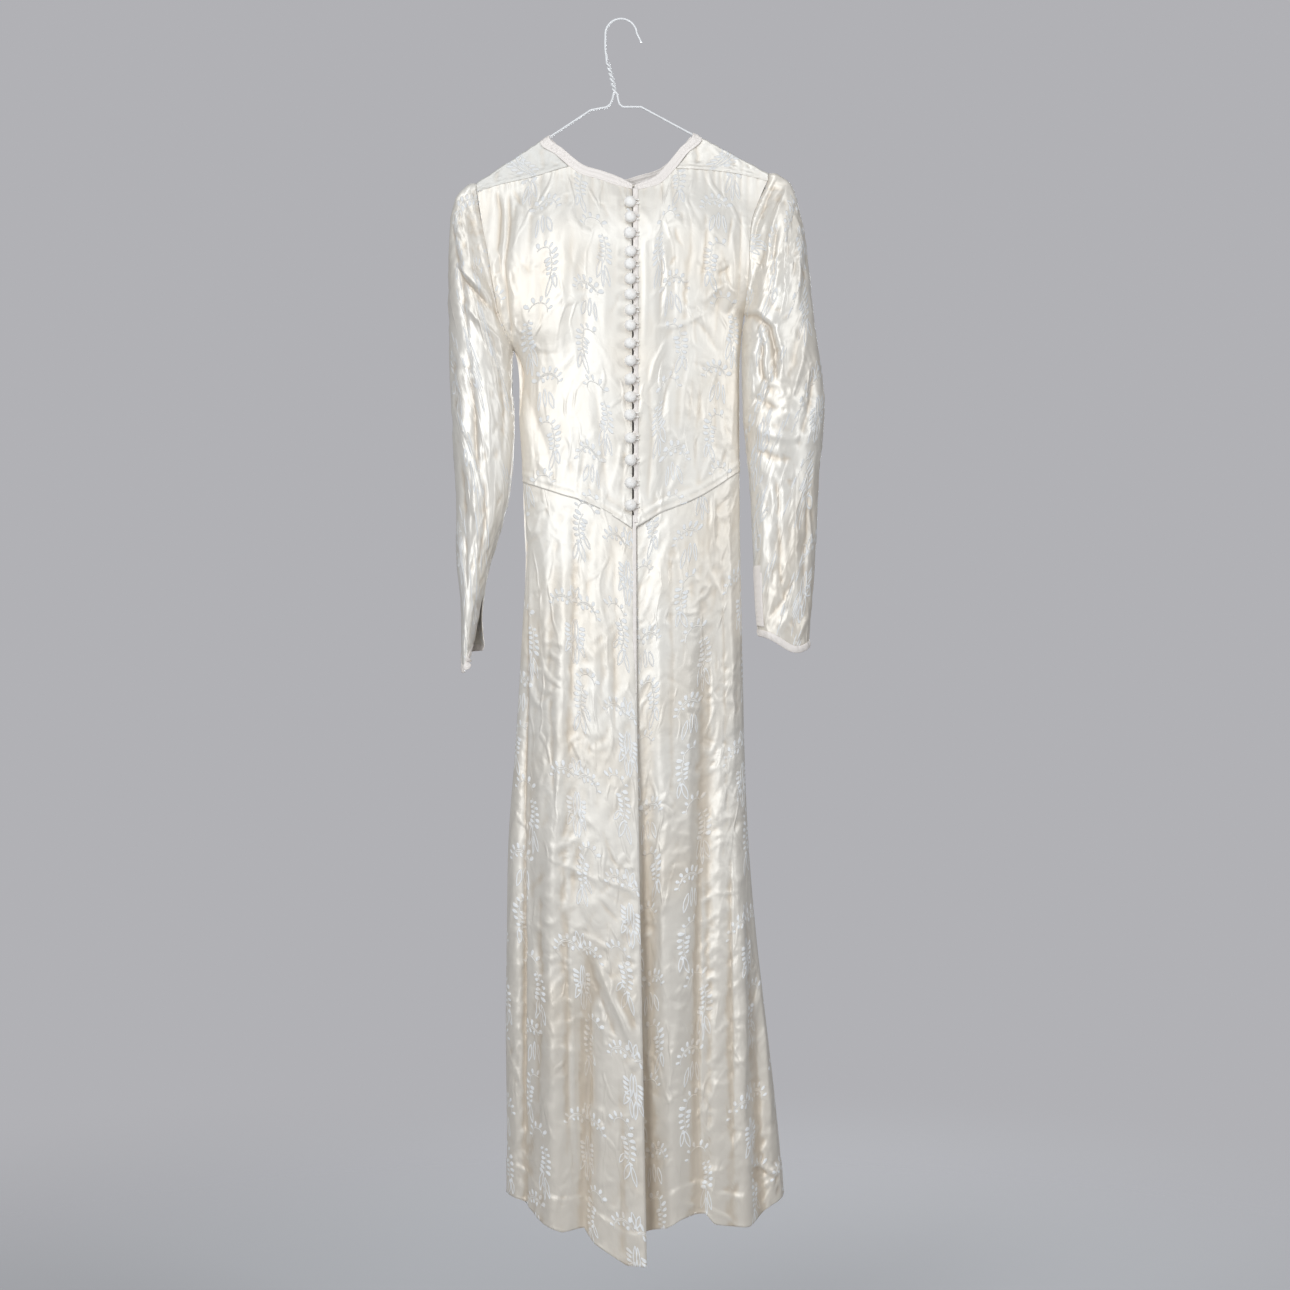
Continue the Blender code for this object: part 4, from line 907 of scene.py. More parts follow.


# %% Creases of the back bodice
BODICE_CREASES = [
    crease_mm(13, -5, -161, 224, -156, 250, -160, 300, -152, 350),
    crease_mm(12, -4.6, -146, 226, -144, 262, -150, 318, -146, 372, -141, 420),
    crease_mm(6, 2.2, -152, 232, -150, 285, -155, 330),
    crease_mm(7, -1.6, -139, 222, -132, 238, -126, 246),
    crease_mm(10, -1, -116, 222, -117, 262, -119, 340),
    crease_mm(14, -1.2, -100, 262, -99, 340, -104, 420),
    crease_mm(16, 1.2, -75, 256, -74, 330, -80, 420),
    crease_mm(14, -1, -48, 300, -46, 380, -52, 470),
    crease_mm(10, 0.9, -20, 260, -18, 330, -22, 420),
    crease_mm(12, 1.6, -138, 440, -124, 500, -112, 590),
    crease_mm(14, -1.4, -128, 470, -100, 545, -82, 604),
    crease_mm(9, 1.3, -112, 570, -98, 586, -90, 606),
    crease_mm(10, 1, -70, 520, -58, 570, -50, 620),
    crease_mm(10, -1, -34, 470, -24, 550, -16, 630),
    crease_mm(6, 1.1, 31, 270, 32, 350, 30, 430),
    crease_mm(10, -1, 52, 250, 53, 330, 50, 410),
    crease_mm(7, 1, 74, 286, 75, 350, 73, 420),
    crease_mm(12, -1.6, 92, 250, 88, 320, 82, 400),
    crease_mm(10, -2.2, 109, 254, 110, 286, 103, 360),
    crease_mm(10, 1.6, 118, 266, 122, 320, 116, 390),
    crease_mm(12, -1.8, 130, 300, 128, 352, 120, 420),
    crease_mm(10, 2, 142, 270, 146, 330, 142, 400),
    crease_mm(9, -2.4, 156, 250, 155, 310, 152, 372),
    crease_mm(8, 1.2, 45, 404, 70, 404, 92, 392),
    crease_mm(10, -1.2, 92, 392, 110, 410, 126, 436),
    crease_mm(12, -1.6, 134, 420, 124, 480, 120, 560),
    crease_mm(10, 1.6, 148, 410, 146, 480, 142, 560),
    crease_mm(9, 1.4, 122, 560, 112, 580, 104, 604),
    crease_mm(7, -1.2, 136, 560, 130, 584, 128, 594),
    crease_mm(12, 0.9, 60, 470, 64, 540, 58, 620),
    crease_mm(10, -0.9, 34, 450, 40, 540, 34, 630),
    crease_mm(9, 1.4, 96, 430, 84, 480, 78, 540),
    crease_mm(11, -1.5, 106, 450, 100, 510, 94, 590),
    crease_mm(9, -1.2, 74, 440, 58, 486, 50, 530),
    crease_mm(7, 1, 60, 420, 44, 450, 34, 486),
    crease_mm(8, 1.3, 130, 440, 112, 490, 108, 540),
    crease_mm(8, 1.2, 82, 560, 74, 590, 60, 620),
]
for kind in (
    (11, 90, (-0.16, 0.16, 0.22, 0.62), (0.02, 0.06), (0.004, 0.009), (0.0002, 0.0006), 0.15, 0.6),
    (12, 26, (0.07, 0.16, 0.24, 0.42), (0.02, 0.05), (0.004, 0.008), (0.0006, 0.0014), 0.0, 0.45),
    (13, 16, (-0.17, -0.13, 0.22, 0.42), (0.02, 0.05), (0.004, 0.007), (0.0006, 0.0014), 0.1, 0.4),
):
    BODICE_CREASES += scattered(*kind)
NECK_LAP = 0.0015
print(len(BODICE_CREASES), "creases for the back bodice")


# %% Back bodice pieces
def waist_lap(b):
    """The bodice's turned-up edge stands proud of the skirt, in a soft roll with a stitched groove."""
    rise = 0.0007 * eased((b - 0.955) / 0.03)
    return rise + 0.0005 * swell_at(b, 0.970, 0.007) - 0.0003 * swell_at(b, 0.984, 0.004)


def gathered(x, b, wander):
    """Small gathers below a seam, dying out down the panel."""
    waves = np.sin(2 * math.pi * x / 0.0085 + 3 * np.sin(x * wander))
    return 0.0005 * waves * np.exp(-b / 0.05) * eased(b / 0.01)


def back_half(side, columns, rows):
    """One half of the back, from the opening out to the armhole and side seam."""
    left = side == LEFT
    binding = NECK_BACK_LEFT if left else NECK_BACK_RIGHT
    yoke = YOKE_LEFT_BACK if left else YOKE_RIGHT_BACK
    side_seam = SIDE_LEFT if left else SIDE_RIGHT
    centre = OPENING_LEFT if left else OPENING_RIGHT
    neck = [(edge.seam_x, edge.seam_drop - NECK_LAP) for edge in binding
            if abs(edge.seam_x) < abs(yoke[0][0]) - 0.006]
    top = neck + list(yoke)
    outer = below_yoke(ARMHOLE_LEFT if left else ARMHOLE_RIGHT, side_seam, yoke[-1])
    foot = waist_points(WAIST_BACK_LEFT if left else WAIST_BACK_RIGHT, centre, side_seam[-1][0], WAIST_LAP)
    outer[-1] = foot[-1]
    a, b = np.meshgrid(spaced(columns, end=True), np.linspace(0.0, 1.0, rows))
    place = patch(top, foot, [top[0], foot[0]], outer, a, b)
    x, drop = place[..., 0], place[..., 1]
    base = on_body(x, drop, BACK)
    edge_fade = eased(a / 0.06) * eased((1 - a) / 0.04) * eased(b / 0.03)
    height = crease_height(x, drop, BODICE_CREASES) + ripple(x, drop, 3, 0.075, 0.0012, 2.2)
    height += crumple(x, drop, 100, 0.014, 0.055, 0.0010)
    puckers = crumple(x, drop, 140, 0.012, 0.010, 0.0007) * np.exp(-((1 - a) / 0.09))
    opening_pucker = 0.00035 * np.sin(2 * math.pi * drop / 0.0231) * np.exp(-a / 0.05)
    lift = height * edge_fade + gathered(x, b, 90) + puckers + opening_pucker + waist_lap(b)
    return moved_out(base, lift, -side), flat_measure(base, 0, (x[0, 0] + 0.052, drop[0, 0] + 0.012))


points, measure = back_half(LEFT, 104, 190)
back_left = add_cloth("satin_back_left", points, measure, satin, ["back_bodice_left"], 1)
points, measure = back_half(RIGHT, 96, 190)
back_right = add_cloth("satin_back_right", points, measure, satin, ["back_bodice_right"], -1)


# %% [markdown]
# ## Front bodice
#
# The front is one piece, seen here only from behind the dress. It has the same seams as the back,
# so the same patch makes it, with its own creases.

# %% Front bodice
FRONT_CREASES = [
    crease_mm(12, -2.6, -150, 240, -140, 300, -142, 370),
    crease_mm(14, 1.8, -110, 240, -104, 310, -92, 380),
    crease_mm(13, -1.4, -60, 230, -55, 320, -60, 420),
    crease_mm(13, 1.4, 10, 240, 0, 330, 8, 450),
    crease_mm(12, -1.6, 60, 225, 66, 320, 56, 410),
    crease_mm(12, 1.9, 110, 225, 112, 300, 100, 370),
    crease_mm(11, -2.4, 146, 240, 140, 310, 146, 370),
    crease_mm(12, 1.8, -124, 480, -100, 550, -80, 605),
    crease_mm(12, 1.8, 140, 450, 116, 530, 100, 600),
    crease_mm(10, -1.2, -20, 520, -12, 580, -16, 625),
    crease_mm(10, -1.2, 40, 500, 46, 570, 38, 620),
]
FRONT_CREASES += scattered(21, 110, (-0.16, 0.16, 0.24, 0.61), (0.02, 0.06), (0.004, 0.009),
                           (0.0002, 0.0008), 0.0, 0.6)


def front_panel(columns, rows):
    left_outer = below_yoke(ARMHOLE_LEFT, SIDE_LEFT, YOKE_LEFT_FRONT[-1])
    right_outer = below_yoke(ARMHOLE_RIGHT, SIDE_RIGHT, YOKE_RIGHT_FRONT[-1])
    neck = [(edge.seam_x, edge.seam_drop - NECK_LAP) for edge in NECK_FRONT[1:-1]]
    top = list(YOKE_LEFT_FRONT[::-1]) + neck + list(YOKE_RIGHT_FRONT)
    foot = waist_points(WAIST_FRONT, SIDE_LEFT[-1][0], SIDE_RIGHT[-1][0], WAIST_LAP)
    left_outer[-1], right_outer[-1] = foot[0], foot[-1]
    a, b = np.meshgrid(spaced(columns, start=True, end=True), np.linspace(0.0, 1.0, rows))
    place = patch(top, foot, left_outer, right_outer, a, b)
    x, drop = place[..., 0], place[..., 1]
    base = on_body(x, drop, FRONT)
    edge_fade = eased(a / 0.03) * eased((1 - a) / 0.03) * eased(b / 0.03)
    height = crease_height(x, drop, FRONT_CREASES) + ripple(x, drop, 5, 0.08, 0.0016, 2.0)
    height = (height + crumple(x, drop, 120, 0.016, 0.050, 0.0014)) * edge_fade
    points = moved_out(base, height + gathered(x, b, 80) + waist_lap(b), 1)
    return points, flat_measure(base, columns // 2, (x[0, columns // 2], drop[0, columns // 2]))


points, measure = front_panel(130, 160)
front = add_cloth("satin_front", points, measure, satin, ["front_bodice"], 1)


# %% [markdown]
# ## Shoulder yokes
#
# A yoke is a small piece that saddles the wire and carries the whole dress. Its lower edge is turned
# in, laid over the gathered top of the bodice and sewn down, which leaves a raised double ridge.
# The ridge is part of the yoke's own surface here: two soft rolls with a stitched groove between.

# %% Yokes
YOKE_CREASES = [
    crease_mm(7, 1.2, 106, 152, 122, 168, 134, 186),
    crease_mm(6, -1.1, 118, 156, 134, 170, 148, 190),
    crease_mm(6, 1, 132, 166, 146, 176, 158, 194),
    crease_mm(7, -1, 96, 160, 100, 176, 98, 190),
    crease_mm(5, -0.9, 150, 176, 160, 184, 172, 200),
    crease_mm(8, -0.8, -98, 160, -104, 178, -100, 196),
    crease_mm(7, 0.8, -120, 170, -128, 186, -126, 200),
    crease_mm(6, -0.8, -150, 190, -160, 200, -166, 212),
]
YOKE_CREASES += scattered(31, 30, (-0.19, 0.19, 0.15, 0.22), (0.012, 0.030), (0.003, 0.006),
                          (0.0002, 0.0006), 0.6, 0.8)
YOKE_LAP = 0.0026
SEAM_SLANT = 0.92


def yoke_panel(side, columns, rows_over, rows_down):
    """A yoke from its lapped seam on the back, over the wire, to its seam on the front."""
    left = side == LEFT
    armhole = ARMHOLE_LEFT if left else ARMHOLE_RIGHT
    seams = ((BACK, YOKE_LEFT_BACK if left else YOKE_RIGHT_BACK),
             (FRONT, YOKE_LEFT_FRONT if left else YOKE_RIGHT_FRONT))
    across = np.linspace(0.0, 1.0, columns)
    ridge_x = side * NECK_SEAM_AT_SHOULDER + (armhole[0][0] - side * NECK_SEAM_AT_SHOULDER) * across
    ridge_x = ridge_x - side * 0.0012 * (1 - across)
    ridge = shoulder_drop(ridge_x)
    halves, lifts = [], []
    for sheet, seam in seams:
        foot = along(seam, across)
        foot[:, 1] += YOKE_LAP
        over = [on_body(ridge_x, ridge + t * CLEAR, sheet) for t in np.linspace(0.0, 1.0, rows_over)]
        lift = [np.zeros(columns) for _ in over]
        for t in np.linspace(0.0, 1.0, rows_down)[1:]:
            x = ridge_x + (foot[:, 0] - ridge_x) * t
            drop = ridge + CLEAR + (foot[:, 1] - ridge - CLEAR) * t
            over.append(on_body(x, drop, sheet))
            to_edge = (foot[:, 1] - drop) * SEAM_SLANT
            to_edge = to_edge + 0.0005 * np.sin(x * 260) + 0.0003 * np.sin(x * 610 + 1)
            fullness = 0.65 + 0.35 * np.sin(x * 190 + 2 * np.sin(x * 83))
            rolls = 0.0008 * fullness * swell_at(to_edge, 0.0026, 0.0018)
            rolls += 0.0005 * fullness * swell_at(to_edge, 0.0076, 0.0016)
            rolls += 0.0006 * (1 - eased((to_edge - 0.003) / 0.006))
            puckers = 0.00022 * np.sin(2 * math.pi * x / 0.0062 + 2.5 * np.sin(x * 130))
            puckers = puckers * np.exp(-to_edge / 0.006)
            small = crease_height(x, drop, YOKE_CREASES) + crumple(x, drop, 170, 0.014, 0.016, 0.0008)
            lift.append(rolls + puckers + small * eased(to_edge / 0.008) * eased(t / 0.15))
        wavy = 0.0005 * np.sin(2 * math.pi * ridge_x / 0.016 + 4 * np.sin(ridge_x * 60))
        lift = [row + wavy * np.exp(-i / 8) for i, row in enumerate(lift)]
        halves.append(over)
        lifts.append(lift)
    base = np.array(halves[0][::-1] + halves[1][1:])
    lift = np.array(lifts[0][::-1] + lifts[1][1:])
    return moved_out(base, lift, side), flat_measure(base, 0, (0.31, 0.07))


# The left yoke takes the satin painted darker as shade.
for label, side, cloth in (("left", LEFT, dull_shaded_satin), ("right", RIGHT, satin)):
    points, measure = yoke_panel(side, 60, 6, 30)
    add_cloth(f"satin_yoke_{label}", points, measure, cloth, [f"yoke_{label}"], side)


# %% [markdown]
# ## Skirt
#
# The skirt's back is two panels. Below the buttoned opening the left one folds over the right and
# turns under, so that a deep fold runs down to the hem. The skirt hangs in long facets with bright
# edges. They come from the standing folds of the form, sharpened by creases along them.

# %% Hems, fold and creases of the skirt
HEM_BACK_LEFT = (
    (0.00, 1.5214), (0.14, 1.5290), (0.26, 1.5490), (0.40, 1.5600), (0.56, 1.5570), (0.64, 1.5750),
    (0.86, 1.6020), (1.00, 1.6040),
)
HEM_BACK_RIGHT = (
    (0.00, 1.5680), (0.20, 1.5570), (0.29, 1.5450), (0.47, 1.5390), (0.52, 1.5510), (0.75, 1.5550),
    (0.83, 1.5450), (1.00, 1.5225),
)
HEM_FRONT = ((0.00, 1.5214), (0.20, 1.5280), (0.50, 1.5340), (0.80, 1.5300), (1.00, 1.5225))
Lap = namedtuple("Lap", "drop edge lip recess")
LAPS = (
    Lap(0.640, 0.0195, 0.0010, 0.0024),
    Lap(0.870, 0.0205, 0.0020, 0.0060),
    Lap(1.100, 0.0240, 0.0070, 0.0150),
    Lap(1.350, 0.0285, 0.0110, 0.0220),
    Lap(1.610, 0.0335, 0.0120, 0.0260),
)
UNDERLAP, FOLD_RISE = 0.0120, 0.0340
WAIST_MEASURE, FORMS_OVER = 0.46, 0.2
HEM_TURNING, HEM_CRISPNESS = 0.040, 0.85
SKIRT_CREASES = [
    crease_mm(13, -1.8, -64, 616, -60, 740, -64, 890),
    crease_mm(16, 1.6, -92, 640, -96, 780, -94, 930),
    crease_mm(9, -1.6, -91, 870, -88, 960, -83, 1060),
    crease_mm(16, 1.6, -34, 660, -32, 800, -38, 980),
    crease_mm(10, -1, -8, 690, -6, 800, -10, 920),
    crease_mm(6, 1.2, -14, 870, -11, 905, -13, 955),
    crease_mm(5, 1.2, 1, 1094, 12, 1098, 24, 1095),
    crease_mm(6, 1.2, -34, 1107, -9, 1117, 20, 1127),
    crease_mm(6, -1.2, -22, 1050, -12, 1085.5, 1, 1100),
    crease_mm(9, 3.4, -28, 1220, -12, 1262, 8, 1305, 26, 1345),
    crease_mm(10, -2.2, -44, 1210, -26, 1262, -4, 1320),
    crease_mm(9, -2, -8, 1240, 8, 1275, 24, 1310),
    crease_mm(7, 1.4, -143, 1342, -132, 1368, -120, 1400),
    crease_mm(5, 1, -3, 1168, 12, 1160, 26, 1150),
    crease_mm(6, -1.1, -32, 1133, -18, 1150, -1, 1168),
    fold_mm(6, 1.8, -120, 700, -118, 860, -122, 1060),
    fold_mm(6, 1.8, -121, 1060, -119, 1230, -122, 1420),
    crease_mm(10, -1.8, -104, 1080, -102, 1230, -106, 1420),
    fold_mm(7, 1.8, -68, 1150, -64, 1290, -66, 1480),
    crease_mm(10, 1.8, -30, 1330, -26, 1430, -30, 1560),
    crease_mm(10, -1.4, -2, 1360, 4, 1450, 2, 1590),
    crease_mm(12, 1.2, 48, 700, 50, 900, 47, 1130),
    crease_mm(12, -1.1, 62, 660, 66, 840, 64, 1060),
    crease_mm(6, 1, 44, 1050, 46, 1120, 44, 1190),
    fold_mm(9, 2.2, -37, 1250, -36, 1370, -42, 1500),
    fold_mm(8, 1.8, -63.5, 1320, -62, 1410, -57, 1500),
    fold_mm(10, 2.6, -121, 1060, -119, 1260, -121, 1480),
    crease_mm(9, 2.2, 53, 1060, 54, 1160, 54, 1260),
    fold_mm(8, 2.6, 103, 1070, 102, 1250, 101, 1470),
    fold_mm(9, 2.6, 143, 1080, 143, 1260, 145, 1470),
    crease_mm(7, 1.6, 118, 600, 119, 650, 118, 712),
    crease_mm(7, 1.6, 118, 820, 119, 870, 118, 930),
    crease_mm(13, -1.4, 103, 700, 104, 900, 102, 1120),
    crease_mm(12, 1.2, 86, 820, 88, 1000, 85, 1240),
    crease_mm(5, 0.9, 71, 769, 86, 772, 102, 769),
    crease_mm(10, 1.8, 140, 640, 142, 800, 146, 980),
    crease_mm(9, -1.8, 131, 700, 133, 860, 138, 1060),
    crease_mm(8, 2.6, 157, 1135, 159, 1280, 157, 1432),
    crease_mm(9, -2, 146, 1120, 147, 1280, 146, 1460),
    crease_mm(7, 1.8, 162, 1430, 164, 1490, 166, 1556),
    fold_mm(7, 2.2, 160, 1476, 180, 1486, 204, 1500),
    crease_mm(7, -1.6, 162, 1482, 176, 1502, 190, 1516),
    crease_mm(6, 1.6, 112, 1532, 130, 1540, 150, 1552),
    crease_mm(6, 1.2, 72, 1520, 86, 1528, 104, 1530),
    crease_mm(5, 1, 110, 1500, 128, 1470, 146, 1440),
    fold_mm(6, 1.6, -168, 1385, -160, 1420, -146, 1450),
    crease_mm(5, 1, -30, 1418, -12, 1412, 6, 1402),
    crease_mm(5, 1, -30, 1500, -14, 1497, -2, 1492),
    crease_mm(5, 1.2, 118, 1131, 112, 1138, 103, 1144),
    crease_mm(5, 1, 118, 1131, 134, 1132, 152, 1128),
    crease_mm(12, 1.6, 104, 1180, 104, 1330, 106, 1510),
    crease_mm(13, -1.6, 60, 1240, 62, 1370, 66, 1520),
    crease_mm(8, 2, 180, 1180, 186, 1320, 194, 1480),
]
SKIRT_CREASES += scattered(41, 150, (-0.14, 0.18, 0.64, 1.56), (0.02, 0.08), (0.004, 0.009),
                           (0.0002, 0.0007), 0.0, 0.5)
SKIRT_CREASES += scattered(42, 26, (-0.14, 0.19, 0.70, 1.56), (0.02, 0.05), (0.003, 0.006),
                           (0.0003, 0.0006), 1.5, 0.3)
print(len(SKIRT_CREASES), "creases for the skirt's back")


def read_at(pairs, at):
    """A smooth curve through (key, value) pairs."""
    return curve_through([pair[0] for pair in pairs], [pair[1] for pair in pairs], at)


def skirt_place(seam, hem, first_x, last_x, a, b):
    """The drop at each fraction across and down, and the x of the waist seam above."""
    top_x = first_x + (last_x - first_x) * a
    top = read_at(seam, top_x)
    places, drops = np.array(hem).T
    sharp = np.interp(a, places, drops)
    foot = HEM_CRISPNESS * sharp + (1 - HEM_CRISPNESS) * read_at(hem, a)
    return top + (foot - top) * b, top_x


def hem_fold(drop, foot):
    """The hem's turning is a little thicker, and its upper edge prints through."""
    up = foot - drop
    return 0.0010 * (1 - eased((up - HEM_TURNING) / 0.004)) + 0.0006 * (1 - eased(up / 0.004))


def skirt_height(x, drop, b, creases, seed):
    small = crease_height(x, drop, creases) + ripple(x, drop, seed, 0.11, 0.0014, 3.0)
    small += crumple(x, drop, 20 * seed, 0.020, 0.075, 0.0016)
    across, down = x + 0.4 * drop, drop - 0.4 * x
    small += crumple(across, down, 20 * seed + 11, 0.012, 0.024, 0.0012) * (0.8 + 0.7 * b)
    return small * eased(b / 0.02)


# %% Left back of the skirt, with its lip turned under
def skirt_left(columns, lip_columns, rows):
    a, b = np.meshgrid(spaced(columns, start=True), np.linspace(0.0, 1.0, rows))
    drop, top_x = skirt_place(WAIST_BACK_LEFT, HEM_BACK_LEFT, SIDE_LEFT[-1][0], LAPS[0].edge, a, b)
    left = column(BODY, "left", drop)
    edge = column(LAPS, "edge", drop)
    ease = eased(b / FORMS_OVER)
    x = top_x * (1 - ease) + (left + (edge - left) * a) * ease
    base = on_body(x, drop, BACK)
    height = skirt_height(x, drop, b, SKIRT_CREASES, 6) * eased(a / 0.04)
    height = height * (0.35 + 0.65 * eased((1 - a) / 0.04)) + hem_fold(drop, drop[-1:])
    main = moved_out(base, height, -1)
    last = main[:, -1:, :]
    w = np.linspace(0.0, 1.0, lip_columns + 1)[None, 1:]
    lip = column(LAPS, "lip", drop[:, -1:])
    depth = np.maximum(column(LAPS, "recess", drop[:, -1:]) - 0.0024, 0.0002) * 0.72
    under = np.repeat(last, lip_columns, axis=1)
    under[..., 0] -= lip * (1 - np.cos(math.pi * w)) / 2
    under[..., 1] += depth * np.sin(math.pi * w / 2)
    points = np.concatenate([main, under], axis=1)
    return points, flat_measure(points, columns - 1, (0.052, WAIST_MEASURE))


points, measure = skirt_left(84, 8, 345)
skirt_back_left = add_cloth("satin_skirt_left", points, measure, satin, ["skirt_back_left"], -1)


# %% Right back of the skirt, recessed beside the fold
def skirt_right(columns, rows):
    a, b = np.meshgrid(spaced(columns, end=True), np.linspace(0.0, 1.0, rows))
    first = LAPS[0].edge - UNDERLAP
    drop, top_x = skirt_place(WAIST_BACK_RIGHT, HEM_BACK_RIGHT, first, SIDE_RIGHT[-1][0], a, b)
    right = column(BODY, "right", drop)
    edge = column(LAPS, "edge", drop)
    ease = eased(b / FORMS_OVER)
    x = top_x * (1 - ease) + (edge - UNDERLAP + (right - edge + UNDERLAP) * a) * ease
    base = on_body(x, drop, BACK)
    recess = column(LAPS, "recess", drop)
    base[..., 1] += recess * (1 - eased((x - edge - 0.004) / FOLD_RISE))
    height = skirt_height(x, drop, b, SKIRT_CREASES, 7) * eased((1 - a) / 0.03) * eased((x - edge) / 0.006)
    points = moved_out(base, height + hem_fold(drop, drop[-1:]), -1)
    return points, flat_measure(base, 0, (0.10, WAIST_MEASURE))


points, measure = skirt_right(88, 345)
skirt_back_right = add_cloth("satin_skirt_right", points, measure, satin, ["skirt_back_right"], -1)

# %% Front of the skirt
SKIRT_FRONT_CREASES = [
    crease_mm(12, 2.4, -95, 640, -98, 850, -104, 1150),
    crease_mm(13, -2, -60, 700, -64, 900, -70, 1200),
    crease_mm(13, 2, 0, 680, -4, 900, 4, 1250),
    crease_mm(12, -2, 55, 650, 60, 850, 72, 1150),
    crease_mm(11, 2.2, 110, 640, 120, 860, 128, 1120),
    crease_mm(8, 2, 30, 1000, 10, 1060, -20, 1100),
    crease_mm(10, 2.4, -110, 1140, -108, 1300, -116, 1480),
    crease_mm(10, 2.4, 150, 1140, 158, 1300, 166, 1480),
    crease_mm(12, -2, 40, 1220, 46, 1360, 42, 1500),
]
SKIRT_FRONT_CREASES += scattered(51, 150, (-0.14, 0.18, 0.64, 1.52), (0.02, 0.08), (0.004, 0.009),
                                 (0.0002, 0.0008), 0.0, 0.5)


def skirt_front_panel(columns, rows):
    a, b = np.meshgrid(spaced(columns, start=True, end=True), np.linspace(0.0, 1.0, rows))
    drop, top_x = skirt_place(WAIST_FRONT, HEM_FRONT, SIDE_LEFT[-1][0], SIDE_RIGHT[-1][0], a, b)
    left, right = column(BODY, "left", drop), column(BODY, "right", drop)
    ease = eased(b / FORMS_OVER)
    x = top_x * (1 - ease) + (left + (right - left) * a) * ease
    base = on_body(x, drop, FRONT)
    height = skirt_height(x, drop, b, SKIRT_FRONT_CREASES, 8) * eased(a / 0.03) * eased((1 - a) / 0.03)
    points = moved_out(base, height + hem_fold(drop, drop[-1:]), 1)
    return points, flat_measure(base, columns // 2, (0.0, WAIST_MEASURE))


points, measure = skirt_front_panel(108, 270)
skirt_front = add_cloth("satin_skirt_front", points, measure, satin, ["skirt_front"], 1)


# %% [markdown]
# ## Sleeves
#
# A set-in sleeve is a tube sewn to the armhole. With no arm in it the tube goes flat: it has a front
# and a back half that part only a little, and it creases across the elbow. It is lofted through
# rings down its length. Its first ring lies on the armhole, and its cap puffs out over the seam.

# %% Rings of the sleeves
Ring = namedtuple("Ring", "outer_x outer_drop inner_x inner_drop half_depth")
SLEEVE_LEFT = (
    Ring(-0.1880, 0.2124, -0.1391, 0.4290, 0.030),
    Ring(-0.2145, 0.2330, -0.1404, 0.4310, 0.034),
    Ring(-0.2230, 0.2990, -0.1410, 0.4370, 0.038),
    Ring(-0.2236, 0.3640, -0.1417, 0.4450, 0.038),
    Ring(-0.2223, 0.4420, -0.1415, 0.4780, 0.036),
    Ring(-0.2184, 0.5330, -0.1390, 0.5360, 0.034),
    Ring(-0.2145, 0.6240, -0.1469, 0.6240, 0.032),
    Ring(-0.2132, 0.7020, -0.1690, 0.7020, 0.032),
    Ring(-0.2080, 0.7566, -0.1827, 0.7580, 0.034),
    Ring(-0.2074, 0.8034, -0.1890, 0.8000, 0.036),
    Ring(-0.2067, 0.8180, -0.1925, 0.8120, 0.036),
)
SLEEVE_RIGHT = (
    Ring(0.1915, 0.1995, 0.1600, 0.3820, 0.030),
    Ring(0.2190, 0.2130, 0.1619, 0.3850, 0.034),
    Ring(0.2340, 0.2600, 0.1612, 0.3930, 0.038),
    Ring(0.2431, 0.3146, 0.1590, 0.4040, 0.040),
    Ring(0.2522, 0.4030, 0.1575, 0.4320, 0.040),
    Ring(0.2613, 0.4745, 0.1573, 0.4810, 0.038),
    Ring(0.2639, 0.5200, 0.1590, 0.5265, 0.037),
    Ring(0.2561, 0.5954, 0.1671, 0.6006, 0.033),
    Ring(0.2529, 0.6825, 0.1716, 0.6825, 0.028),
    Ring(0.2470, 0.7540, 0.1749, 0.7540, 0.024),
    Ring(0.2438, 0.8060, 0.1781, 0.7930, 0.022),
)
Point = namedtuple("Point", "fall place half_width")
POINT_LEFT = Point(0.0250, 0.70, 0.130)
POINT_RIGHT = Point(0.0125, 0.68, 0.110)
SLIT_TOP, SLIT_SPREAD = 0.74, 0.0140
TUBE_ROUND, CAP_GATHERS = 0.26, 58
print("sleeves lofted through", len(SLEEVE_LEFT), "and", len(SLEEVE_RIGHT), "rings")

# %% Creases of the sleeves
LEFT_SLEEVE_CREASES = [
    crease_mm(7, 2.4, -203, 214, -201, 222, -202, 230),
    crease_mm(4, -1.4, -196, 208, -190, 220, -193, 236),
    crease_mm(4, -1.4, -211, 214, -213, 226, -208, 238),
    crease_mm(10, -3.4, -222, 236, -214, 300, -204, 360, -196, 420),
    crease_mm(9, 2.4, -203, 240, -198, 290, -190, 340),
    fold_mm(13, 5.6, -213, 322, -196, 344, -178, 362, -164, 382),
    crease_mm(8, 2.4, -204, 372, -186, 392, -168, 408, -154, 420),
    crease_mm(9, 2.2, -192, 380, -176, 410, -160, 440),
    crease_mm(11, 3, -212, 420, -204, 500, -200, 580),
    crease_mm(10, -3, -196, 430, -188, 510, -184, 600),
    crease_mm(10, 2.6, -176, 450, -168, 520, -168, 610),
    crease_mm(9, -2.4, -158, 450, -150, 510, -152, 580),
    crease_mm(8, -2.6, -206, 560, -200, 650, -198, 740),
    crease_mm(8, 2.6, -190, 600, -184, 670, -188, 750),
    crease_mm(7, -2.2, -174, 600, -176, 660, -184, 720),
    crease_mm(7, 2, -162, 570, -164, 630, -172, 690),
    crease_mm(5, 1.4, -202, 740, -200, 780, -200, 820),
]
